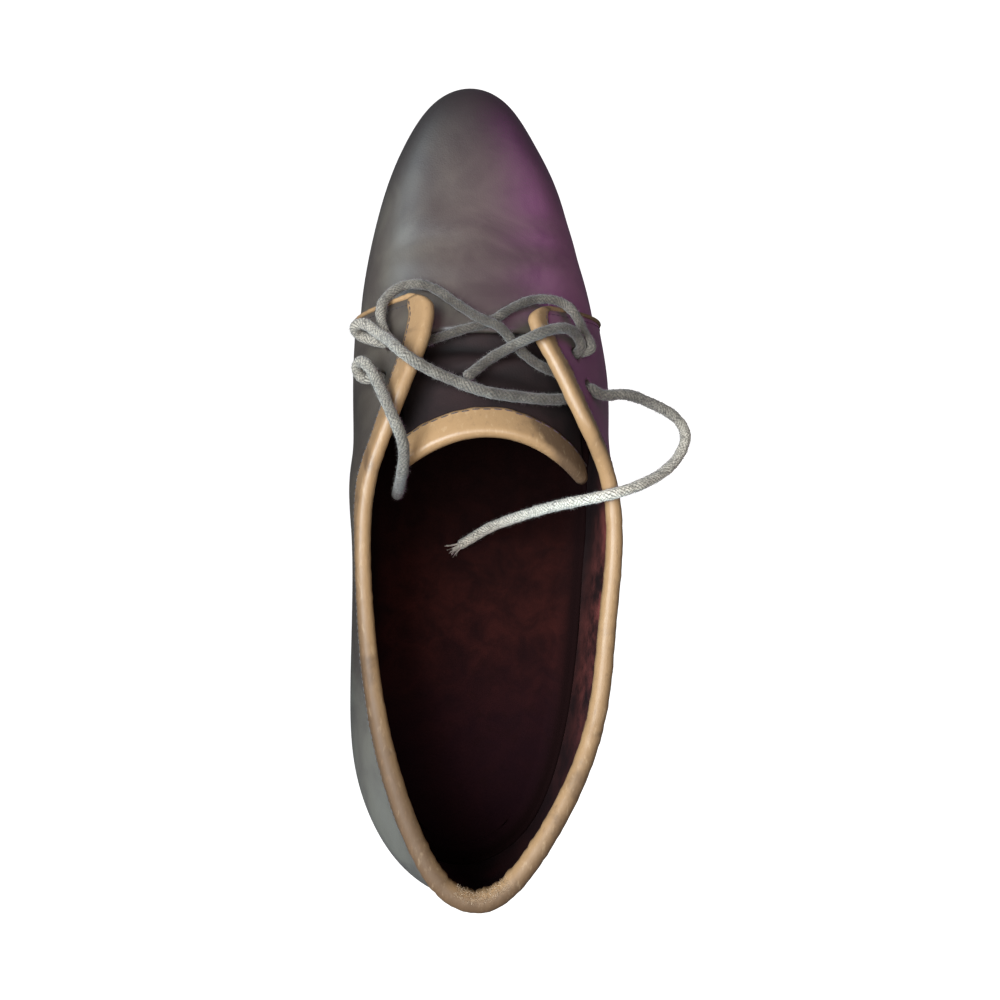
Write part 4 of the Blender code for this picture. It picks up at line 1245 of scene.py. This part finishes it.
def node_group(name, inputs):
    """An empty Geometry Nodes tree with named inputs, its builder wire and its group input."""
    tree = bpy.data.node_groups.new(name, "GeometryNodeTree")
    tree.interface.new_socket("Geometry", in_out="INPUT", socket_type="NodeSocketGeometry")
    for label, kind in inputs.items():
        tree.interface.new_socket(label, in_out="INPUT", socket_type=kind)
    tree.interface.new_socket("Geometry", in_out="OUTPUT", socket_type="NodeSocketGeometry")
    entry = tree.nodes.new("NodeGroupInput")
    return tree, Wire(tree), {socket.name: Wire(tree, socket) for socket in entry.outputs if socket.name}


def end_group(wire, instances, material):
    """Ends a tree: instances made real, shaded smooth and given their material."""
    real = wire.add("GeometryNodeRealizeInstances", {}, {0: instances})
    smooth = wire.add("GeometryNodeSetShadeSmooth", {}, {0: real})
    painted = wire.add("GeometryNodeSetMaterial", {}, {"Geometry": smooth, "Material": material})
    wire.add("NodeGroupOutput", {"is_active_output": True}, {0: painted})


@functools.cache
def stitch_group():
    """Short rounded threads laid end to end along every line of a mesh."""
    tree, wire, enter = node_group("Stitch row", {
        "Pitch": "NodeSocketFloat", "Span": "NodeSocketFloat", "Thickness": "NodeSocketFloat",
        "Thread": "NodeSocketMaterial"})
    curve = wire.add("GeometryNodeMeshToCurve", {}, {0: enter["Geometry"]})
    spaced = wire.add("GeometryNodeResampleCurve", {"mode": "LENGTH"}, {
        "Curve": curve, "Length": enter["Pitch"]})
    thread = wire.add("GeometryNodeMeshUVSphere", {}, {"Segments": 8, "Rings": 6, "Radius": 0.5})
    ahead = wire.add("GeometryNodeInputTangent", {}, {})
    turned = wire.add("FunctionNodeAlignRotationToVector", {"axis": "X"}, {"Vector": ahead})
    scale = wire.add("ShaderNodeCombineXYZ", {}, {
        0: enter["Span"], 1: enter["Thickness"], 2: enter["Thickness"]})
    stitches = wire.add("GeometryNodeInstanceOnPoints", {}, {
        "Points": spaced, "Instance": thread, "Rotation": turned, "Scale": scale})
    end_group(wire, stitches, enter["Thread"])
    return tree


@functools.cache
def fibre_group():
    """Fine loose fibres that stand on a surface, leaning every way."""
    tree, wire, enter = node_group("Loose fibres", {
        "Density": "NodeSocketFloat", "Length": "NodeSocketFloat", "Thickness": "NodeSocketFloat",
        "Seed": "NodeSocketInt", "Fibre": "NodeSocketMaterial"})
    slant = 0.9
    spots = wire.add("GeometryNodeDistributePointsOnFaces", {}, {
        "Mesh": enter["Geometry"], "Density": enter["Density"], "Seed": enter["Seed"]}, "Points")
    lean = wire.add("FunctionNodeRandomValue", {"data_type": "FLOAT_VECTOR"}, {
        "Min": (-slant, -slant, -slant), "Max": (slant, slant, slant), "Seed": enter["Seed"]})
    aim = wire.add("ShaderNodeVectorMath", {"operation": "ADD"}, {0: spots.sibling("Normal"), 1: lean})
    turned = wire.add("FunctionNodeAlignRotationToVector", {"axis": "Z"}, {"Vector": aim})
    share = wire.add("FunctionNodeRandomValue", {"data_type": "FLOAT"}, {
        "Min_001": 0.25, "Max_001": 1.0, "Seed": enter["Seed"]}, 1)
    scale = wire.add("ShaderNodeCombineXYZ", {}, {
        0: enter["Thickness"], 1: enter["Thickness"], 2: share * enter["Length"]})
    hair = wire.add("GeometryNodeMeshCone", {"fill_type": "NONE"}, {
        "Vertices": 3, "Radius Top": 0.12, "Radius Bottom": 0.5, "Depth": 1.0})
    hairs = wire.add("GeometryNodeInstanceOnPoints", {}, {
        "Points": spots, "Instance": hair, "Rotation": turned, "Scale": scale})
    end_group(wire, hairs, enter["Fibre"])
    return tree


def grown(made, tree, values):
    """Runs a Geometry Nodes tree on an object with its named inputs and keeps the plain mesh."""
    step = made.modifiers.new(tree.name, "NODES")
    step.node_group = tree
    for item in tree.interface.items_tree:
        if item.in_out == "INPUT" and item.name in values:
            step[item.identifier] = values[item.name]
    return finished(made)


def fuzzed(made, fibre, density, fibre_length, thickness, seed):
    """Loose fibres on an object: their number on a square centimetre and their thickness in millimetres."""
    return grown(made, fibre_group(), {
        "Density": density * PER_SQUARE_CM, "Length": fibre_length, "Thickness": thickness * MM,
        "Seed": seed, "Fibre": fibre})


def path_object(name, lines):
    """An object of bare lines for a stitch row to follow."""
    points, edges = [], []
    start = 0
    for line in lines:
        points.append(line)
        edges += [(start + i, start + i + 1) for i in range(len(line) - 1)]
        start += len(line)
    return mesh_piece(name, np.concatenate(points), [], [], edges=edges)


def layered_piece(name, layers, material):
    """A closed block through layers from top to bottom; each has its two side lines and a height of y."""
    across, sharp = PLATE_COLUMNS, math.radians(45)
    count = len(layers[0][0])
    loops = []
    for inner, outer, height in layers:
        plan = np.concatenate([inner, outer[::-1]])
        loops.append(np.concatenate([plan, height(plan[:, 1])[:, None]], axis=1))
    points = [np.array(loops).reshape(-1, 3)]
    faces = sheet_faces(len(loops), 2 * count, wrap=True)
    start = len(loops) * 2 * count
    for inner, outer, height in (layers[0], layers[-1]):
        weights = np.linspace(0, 1, across)[None, :, None]
        plan = inner[:, None] * (1 - weights) + outer[:, None] * weights
        cap = np.concatenate([plan, height(plan[..., 1])[..., None]], axis=2)
        faces += (np.array(sheet_faces(count, across)) + start).tolist()
        points.append(cap.reshape(-1, 3))
        start += count * across
    made = mesh_piece(name, np.concatenate(points), faces, [material], merge=MERGE, closed=True)
    made.data.set_sharp_from_angle(angle=sharp)
    return made


class MakeUpper(bpy.types.Operator):
    """Vamp and quarters as hollow leather walls, with creases and four lace holes"""

    bl_idname = "derby.upper"
    bl_label = "Upper"

    def execute(self, context):
        materials = upper_materials()
        vamp = finished(wall_piece("vamp", vamp_surface(), WALL, materials, merge=VAMP_MERGE))
        quarters = wall_piece("quarters", quarter_surface(), WALL, materials)
        punches = [self.punch(quarters, x, y) for x, y in EYELETS]
        finished(quarters)
        for punch in punches:
            bpy.data.objects.remove(punch)
        for made in (vamp, quarters):
            declared(made, "upper_leather", "upper")
        return {"FINISHED"}

    @staticmethod
    def punch(quarters, x, y):
        """A round punch square to the flap, and the cut that it makes."""
        grid = quarter_surface()
        away = np.hypot(grid[..., 0] - x, grid[..., 1] - y)
        away[grid[..., 2] < FLAP_LEAST_Z] = np.inf
        spot = np.unravel_index(np.argmin(away), away.shape)
        bpy.ops.mesh.primitive_cylinder_add(
            vertices=HOLE_SIDES, radius=EYELET_RADIUS * MM, depth=PUNCH_LENGTH * MM)
        punch = bpy.context.object
        punch.location = placed(grid[spot])
        punch.rotation_mode = "QUATERNION"
        punch.rotation_quaternion = Vector(grid_normals(grid)[spot]).to_track_quat("Z", "Y")
        cut = quarters.modifiers.new("Lace hole", "BOOLEAN")
        cut.operation = "DIFFERENCE"
        cut.solver = "EXACT"
        cut.object = punch
        return punch


class MakeEdges(bpy.types.Operator):
    """Tan strips rolled over the collar and the tongue, and the piping of the front edges"""

    bl_idname = "derby.edges"
    bl_label = "Rolled edges"

    def execute(self, context):
        looks = context.scene.derby_edge
        ends = self.collar(looks)
        self.tongue_band(looks)
        self.piping(looks, ends)
        return {"FINISHED"}

    def collar(self, looks):
        """Strip round the collar, ragged and puckered at the heel; gives the middles near its two ends."""
        heel_run, nap_run, fray = 26.0, 13.0, 1.4
        rub_start, rub_run, rub_pucker = 0.55, 0.2, 3.5
        trim, seat = 2, 4
        depths, along = collar_depths()
        from_heel = along - along[-1] / 2
        heel = np.exp(-(from_heel / heel_run) ** 2)
        frayed = depths + heel * (fray + waves(along, FRAY_WAVES))
        sections, across = strip_sections(quarter_surface(), WALL, depths, frayed, collar_thickness(along))
        rubbed = np.outer(heel, np.clip((across - rub_start) / rub_run, 0, 1))
        pucker = waves(along, PUCKER_WAVES)[:, None] * (1 + rub_pucker * rubbed)
        heart = sections.mean(axis=1, keepdims=True)
        sections = sections + unit(sections - heart) * pucker[..., None]
        made = strip_piece("collar_strip", sections[trim:-trim], across, COLLAR_WEAR_AND_SHADE)
        declared(made, "edge_leather", "collar_edge")
        declared(self.heel_nap(sections[np.abs(from_heel) < nap_run], looks), "edge_leather")
        return sections[seat].mean(axis=0), sections[-seat - 1].mean(axis=0)

    @staticmethod
    def heel_nap(sections, looks):
        """Short fibres where the heel has rubbed the strip's inner face rough."""
        dark, pale = (0.30, 0.20, 0.12), (0.60, 0.46, 0.33)
        thickness, seed = 0.11, 2
        first = STRIP_FACE_POINTS + CROWN_POINTS // 2
        patch = sections[:, first:2 * STRIP_FACE_POINTS]
        made = mesh_piece("heel_nap", patch, sheet_faces(*patch.shape[:2]), [])
        fibre = fibre_material("Worn tan nap", dark, pale)
        return fuzzed(made, fibre, looks.nap_density, looks.nap, thickness, seed)

    @staticmethod
    def tongue_band(looks):
        """Strip over the tongue's top, without the painted shade of the collar's outer margin."""
        margin = 0.46
        depths = tongue_depths()
        even = np.full(len(depths), looks.thickness / MM)
        sections, across = strip_sections(tongue_surface(), TONGUE_WALL, depths, depths, even)
        band = strip_piece("tongue_strip", sections, margin + (1 - margin) * across, TONGUE_WEAR_AND_SHADE)
        declared(band, "edge_leather", "tongue_edge")

    @staticmethod
    def piping(looks, ends):
        """Thin piping up both front edges, thicker where it meets the collar's strip."""
        lowest, skin, slim, swell, swell_run = 2, 0.15, 0.85, 0.75, 7.0
        middle = np.full(PIPING_SIDES, 0.5)
        grid = quarter_surface()
        normals = grid_normals(grid)
        for name, row, end, wear in (("inner_piping", 0, ends[0], 0.1), ("outer_piping", -1, ends[1], 0.9)):
            line = np.concatenate([grid[row, lowest:] + skin * normals[row, lowest:], [end]])
            line = refined_line(line, PIPING_STATIONS)
            along = arc_length(line)
            radius = looks.piping / MM * (slim + swell * np.exp((along - along[-1]) / swell_run))
            radius = radius + waves(along, PIPING_WAVES)
            rings = tube_points(line, np.repeat(radius[:, None], PIPING_SIDES, axis=1))
            declared(strip_piece(name, rings, middle, ((0.0, wear), (1.0, wear))), "edge_leather")


class MakeTongue(bpy.types.Operator):
    """Wide leather tongue with soft folds"""

    bl_idname = "derby.tongue"
    bl_label = "Tongue"

    def execute(self, context):
        tongue = wall_piece("tongue_leather", tongue_surface(), TONGUE_WALL, tongue_materials())
        store_hollows(tongue, TONGUE_CREASES)
        declared(finished(tongue), "upper_leather", "tongue")
        return {"FINISHED"}


class MakeInsole(bpy.types.Operator):
    """Sock lining over the whole foot, cupped up to the walls"""

    bl_idname = "derby.insole"
    bl_label = "Insole"

    def execute(self, context):
        thickness, rim_rise = 1.6, 3.5
        rims = [[(sole_side(side, margin, INSOLE_STATIONS, height=rise), rise - INSOLE_THICK)
                 for margin, rise in INSOLE_CUP] for side in (-1, 1)]
        inner, outer = rims[0][-1][0], rims[1][-1][0]
        weights = np.linspace(0, 1, INSOLE_COLUMNS)[1:-1]
        flat = [(inner * (1 - weight) + outer * weight, 0.0) for weight in weights]
        lines = rims[0] + flat + rims[1][::-1]
        plan = np.stack([line for line, _ in lines], axis=1)
        height = sole_top(plan[..., 1]) + INSOLE_THICK + np.array([rise for _, rise in lines])
        grid = np.concatenate([plan, height[..., None]], axis=2)
        made = wall_piece("sock_lining", grid[:, ::-1], thickness, [insole_material()], merge=MERGE)
        made.modifiers["Wall"].material_offset = 0
        # Height up the rim, for the insole's painted shade
        spots = shoe_points(made)
        above = spots[:, 2] - sole_top(spots[:, 1]) - INSOLE_THICK
        name_values(made, "rim", np.clip(above / rim_rise, 0, 1))
        declared(finished(made), "lining", "insole")
        return {"FINISHED"}


class MakeSole(bpy.types.Operator):
    """Close-trimmed outsole and a low heel of stacked lifts"""

    bl_idname = "derby.sole"
    bl_label = "Sole and heel"

    def execute(self, context):
        def level(rungs, margin, start_y=TIP_Y):
            return [sole_side(side, SOLE_MARGIN + margin, rungs, start_y) for side in (-1, 1)]

        layers = [(*level(SOLE_RUNGS, margin), lambda y, drop=drop: sole_top(y) - drop)
                  for margin, drop in SOLE_EDGE]
        declared(layered_piece("outsole_plate", layers, sole_material()), "sole", "outsole")

        top = SOLE_THICK + HEEL_GAP
        layers = [(*level(HEEL_RUNGS, margin - HEEL_TAPER * share, BREAST_Y),
                   lambda y, share=share: (sole_top(y) - top) * (1 - share)) for share, margin in HEEL_LIFTS]
        declared(layered_piece("heel_stack", layers, sole_material()), "sole", "heel")
        return {"FINISHED"}


class MakeLace(bpy.types.Operator):
    """Braided lace through the four holes, its two free ends and their loose fibres"""

    bl_idname = "derby.lace"
    bl_label = "Lace"

    def execute(self, context):
        looks = context.scene.derby_lace
        crossings = lace_piece("lace_crossings", LACE_CROSSINGS, CROSSING_WEAR_AND_SHADE)
        declared(crossings, "lace", "lace_bars")
        declared(self.fibres("crossing_fibres", crossings, looks), "lace")
        tuft = frayed_tip("outer_end_tuft", OUTER_LACE_END)
        for name, node, route, wear, loose in (
                ("outer_end", "lace_end_outer", OUTER_LACE_END, OUTER_END_WEAR_AND_SHADE, [tuft]),
                ("inner_end", "lace_end_inner", INNER_LACE_END, INNER_END_WEAR_AND_SHADE, [])):
            made = declared(lace_piece("lace_" + name, [route], [wear]), "lace", node)
            loose = [self.fibres(name + "_fibres", made, looks), *loose]
            path = placed(lace_path(route))
            for fuzz in loose:
                declared(fuzz, "lace")
        return {"FINISHED"}

    @staticmethod
    def fibres(name, lace, looks):
        """Loose fibres over one lace piece."""
        pale, thickness = (0.24, 0.225, 0.20), 0.07
        made = bpy.data.objects.new(name, lace.data.copy())
        bpy.context.scene.collection.objects.link(made)
        fibre = fibre_material("Loose lace fibres", tuple(looks.grimy_shade), pale)
        return fuzzed(made, fibre, looks.density, looks.hair, thickness, looks.seed)


class MakeStitches(bpy.types.Operator):
    """Dark stitch rows along the rolled edges and behind the piping"""

    bl_idname = "derby.stitches"
    bl_label = "Stitches"

    def execute(self, context):
        looks = context.scene.derby_stitch
        inside, sunk, skin = 0.9, 0.62, 0.05
        trim, lowest, highest, behind = 4, 6, -2, CORNER_STATIONS // 2
        grid = quarter_surface()
        depths, along = collar_depths()
        collar = self.row(grid, depths - inside, collar_thickness(along) * sunk)[trim:-trim]
        fronts = [(grid + skin * grid_normals(grid))[k, lowest:highest] for k in (behind, -behind - 1)]
        depths = tongue_depths()
        rises = np.full(len(depths), context.scene.derby_edge.thickness / MM * sunk)
        band = self.row(tongue_surface(), depths - inside, rises)
        for name, lines, pitch, gap in (
                ("collar_stitches", [collar, *fronts], looks.pitch, looks.gap),
                ("tongue_stitches", [band], looks.tongue_pitch, looks.tongue_gap)):
            made = grown(path_object(name, lines), stitch_group(), {
                "Pitch": pitch, "Span": pitch - gap, "Thickness": looks.thickness,
                "Thread": thread_material()})
            declared(made, "edge_leather")
        return {"FINISHED"}

    @staticmethod
    def row(grid, depths, rises):
        """A line at a depth below the grid's top edge, raised above its surface."""
        points = []
        for line, depth, rise in zip(lines_from_top(grid), depths, rises):
            spot, out = below_top(line, depth)
            points.append(spot + out * rise)
        return np.array(points)


class MakeStage(bpy.types.Operator):
    """Pale floor, a dark card, soft lights and a camera at the photograph's angle"""

    bl_idname = "derby.stage"
    bl_label = "Stage"

    def execute(self, context):
        scene = context.scene
        looks = scene.derby_stage
        scene.view_settings.view_transform = "Standard"
        self.floor(looks)
        self.shade_card()
        self.surroundings(scene, looks)
        warm, cool, pale = (1.0, 0.97, 0.93), (0.52, 0.82, 1.0), (0.70, 0.90, 1.0)
        all_round = 180
        edges = ("collar_strip", "heel_nap", "tongue_strip", "inner_piping", "outer_piping")
        inside = ("tongue_leather", "sock_lining", "lace_crossings", "lace_outer_end", "lace_inner_end")
        for name, place, target, size, spread, power, colour, kept_off in (
                ("daylight", (-0.48, 0.06, 0.70), (0.0, 0.04, 0.03), 0.6, all_round,
                 looks.daylight_power, looks.daylight, ("floor",)),
                ("top", (0.0, -0.10, 1.05), (0.0, 0.0, 0.0), 0.6, all_round,
                 looks.top_power, warm, ()),
                ("violet", (0.34, 0.16, 0.23), (0.030, 0.068, 0.040), 0.6, 80,
                 looks.violet_power, looks.violet, ("floor", *edges, *inside)),
                ("window", (-0.42, -0.42, 0.26), (-0.03, -0.11, 0.045), 0.3, 50,
                 looks.window_power, cool, ("floor", *edges)),
                ("flank", (-0.42, 0.34, 0.12), (-0.026, 0.112, 0.028), 0.3, 40,
                 looks.flank_power, pale, ("floor", *edges, "quarters", *inside))):
            lamp = self.light(name, place, target, power, colour)
            lamp.data.size = size
            lamp.data.spread = math.radians(spread)
            if kept_off:
                self.leave_out(lamp, kept_off)
        self.camera(scene)
        return {"FINISHED"}

    @staticmethod
    def floor(looks):
        """Wide pale floor that glows a little."""
        half, dull = 3000.0, (0.82, 0.82, 0.83)
        corners = [(-half, -half, 0), (half, -half, 0), (half, half, 0), (-half, half, 0)]
        made, wire = new_material("Pale floor")
        tone = wire.noise(wire.place(), 60.0)
        surfaced(made, wire, {
            "Base Color": wire.mix(tone * 0.1, looks.floor, dull), "Roughness": 0.7,
            "Emission Color": (1.0, 1.0, 1.0, 1.0), "Emission Strength": looks.glow})
        plane = mesh_piece("floor", corners, [(0, 1, 2, 3)], [made])
        plane.visible_glossy = False
        plane.visible_diffuse = False

    @staticmethod
    def shade_card():
        """A dark card, out of the camera's sight, that shades the inner side."""
        x, back, front, height = -80.0, -96.0, 45.0, 98.0
        corners = [(x, back, 0), (x, front, 0), (x, front, height), (x, back, height)]
        made, wire = new_material("Dark card")
        surfaced(made, wire, {"Base Color": (0.02, 0.02, 0.02, 1.0), "Roughness": 0.9})
        card = mesh_piece("shade_card", corners, [(0, 1, 2, 3)], [made])
        card.visible_camera = False

    @staticmethod
    def leave_out(lamp, pieces):
        """Keeps one light off named pieces."""
        kept_off = bpy.data.collections.new("Out of the " + lamp.name + " light")
        for name in pieces:
            kept_off.objects.link(bpy.data.objects[name])
        for entry in kept_off.collection_objects:
            entry.light_linking.link_state = "EXCLUDE"
        lamp.light_linking.receiver_collection = kept_off

    @staticmethod
    def surroundings(scene, looks):
        """Even pale light from all round."""
        world = bpy.data.worlds.new("Plain room")
        world.use_nodes = True
        background = world.node_tree.nodes["Background"]
        background.inputs["Color"].default_value = (0.93, 0.96, 1.0, 1.0)
        background.inputs["Strength"].default_value = looks.ambient
        scene.world = world

    @staticmethod
    def light(name, place, target, power, colour):
        """An area light, unseen by the camera, that looks at its target."""
        lamp = bpy.data.lights.new(name, "AREA")
        lamp.energy = power
        lamp.color = colour
        made = bpy.data.objects.new(name, lamp)
        made.location = place
        made.rotation_euler = (Vector(target) - Vector(place)).to_track_quat("-Z", "Y").to_euler()
        made.visible_camera = False
        bpy.context.scene.collection.objects.link(made)
        return made

    @staticmethod
    def camera(scene):
        """Camera at the photograph's place, turned to this frame's middle."""
        def axes(look):
            ahead = unit(np.array(look, float))
            right = unit(np.cross(ahead, [0.0, 1.0, 0.0]))
            return right, np.cross(right, ahead), ahead

        sensor = 36.0
        right, up, ahead = axes(PHOTO_LOOK)
        over, down = [(pixel - PHOTO_SIZE / 2) / PHOTO_FOCUS for pixel in FRAME_MIDDLE]
        right, up, ahead = axes(ahead + over * right - down * up)
        lens = bpy.data.cameras.new("camera")
        lens.sensor_width = sensor
        lens.lens = sensor * PHOTO_FOCUS * FRAME_ZOOM / PHOTO_SIZE
        lens.clip_start = 0.01
        made = bpy.data.objects.new("camera", lens)
        turn = Matrix(np.stack([right, up, -ahead], axis=1).tolist()).to_4x4()
        made.matrix_world = Matrix.Translation(placed(CAMERA_PLACE)) @ turn
        scene.collection.objects.link(made)
        scene.camera = made


STEPS = (MakeUpper, MakeEdges, MakeTongue, MakeInsole, MakeSole, MakeLace, MakeStitches, MakeStage)


class DerbyPanel(bpy.types.Panel):
    """Sizes and colours of the derby shoe, and the steps that dress it"""

    bl_idname = "VIEW3D_PT_derby_shoe"
    bl_label = "Derby shoe"
    bl_space_type = "VIEW_3D"
    bl_region_type = "UI"
    bl_category = "Derby shoe"

    def draw(self, context):
        for name, group in LOOKS.items():
            box = self.layout.box()
            for prop in group.__annotations__:
                box.prop(getattr(context.scene, name), prop)
        for step in STEPS:
            self.layout.operator(step.bl_idname)


def register():
    for group in (*LOOKS.values(), *STEPS, DerbyPanel):
        bpy.utils.register_class(group)
    for name, group in LOOKS.items():
        setattr(bpy.types.Scene, name, PointerProperty(type=group))


def unregister():
    for name in LOOKS:
        delattr(bpy.types.Scene, name)
    for group in reversed((*LOOKS.values(), *STEPS, DerbyPanel)):
        bpy.utils.unregister_class(group)


def main():
    register()
    bpy.ops.derby.upper()
    bpy.ops.derby.edges()
    bpy.ops.derby.tongue()
    bpy.ops.derby.insole()
    bpy.ops.derby.sole()
    bpy.ops.derby.lace()
    bpy.ops.derby.stitches()
    bpy.ops.derby.stage()


if __name__ == "__main__":
    main()
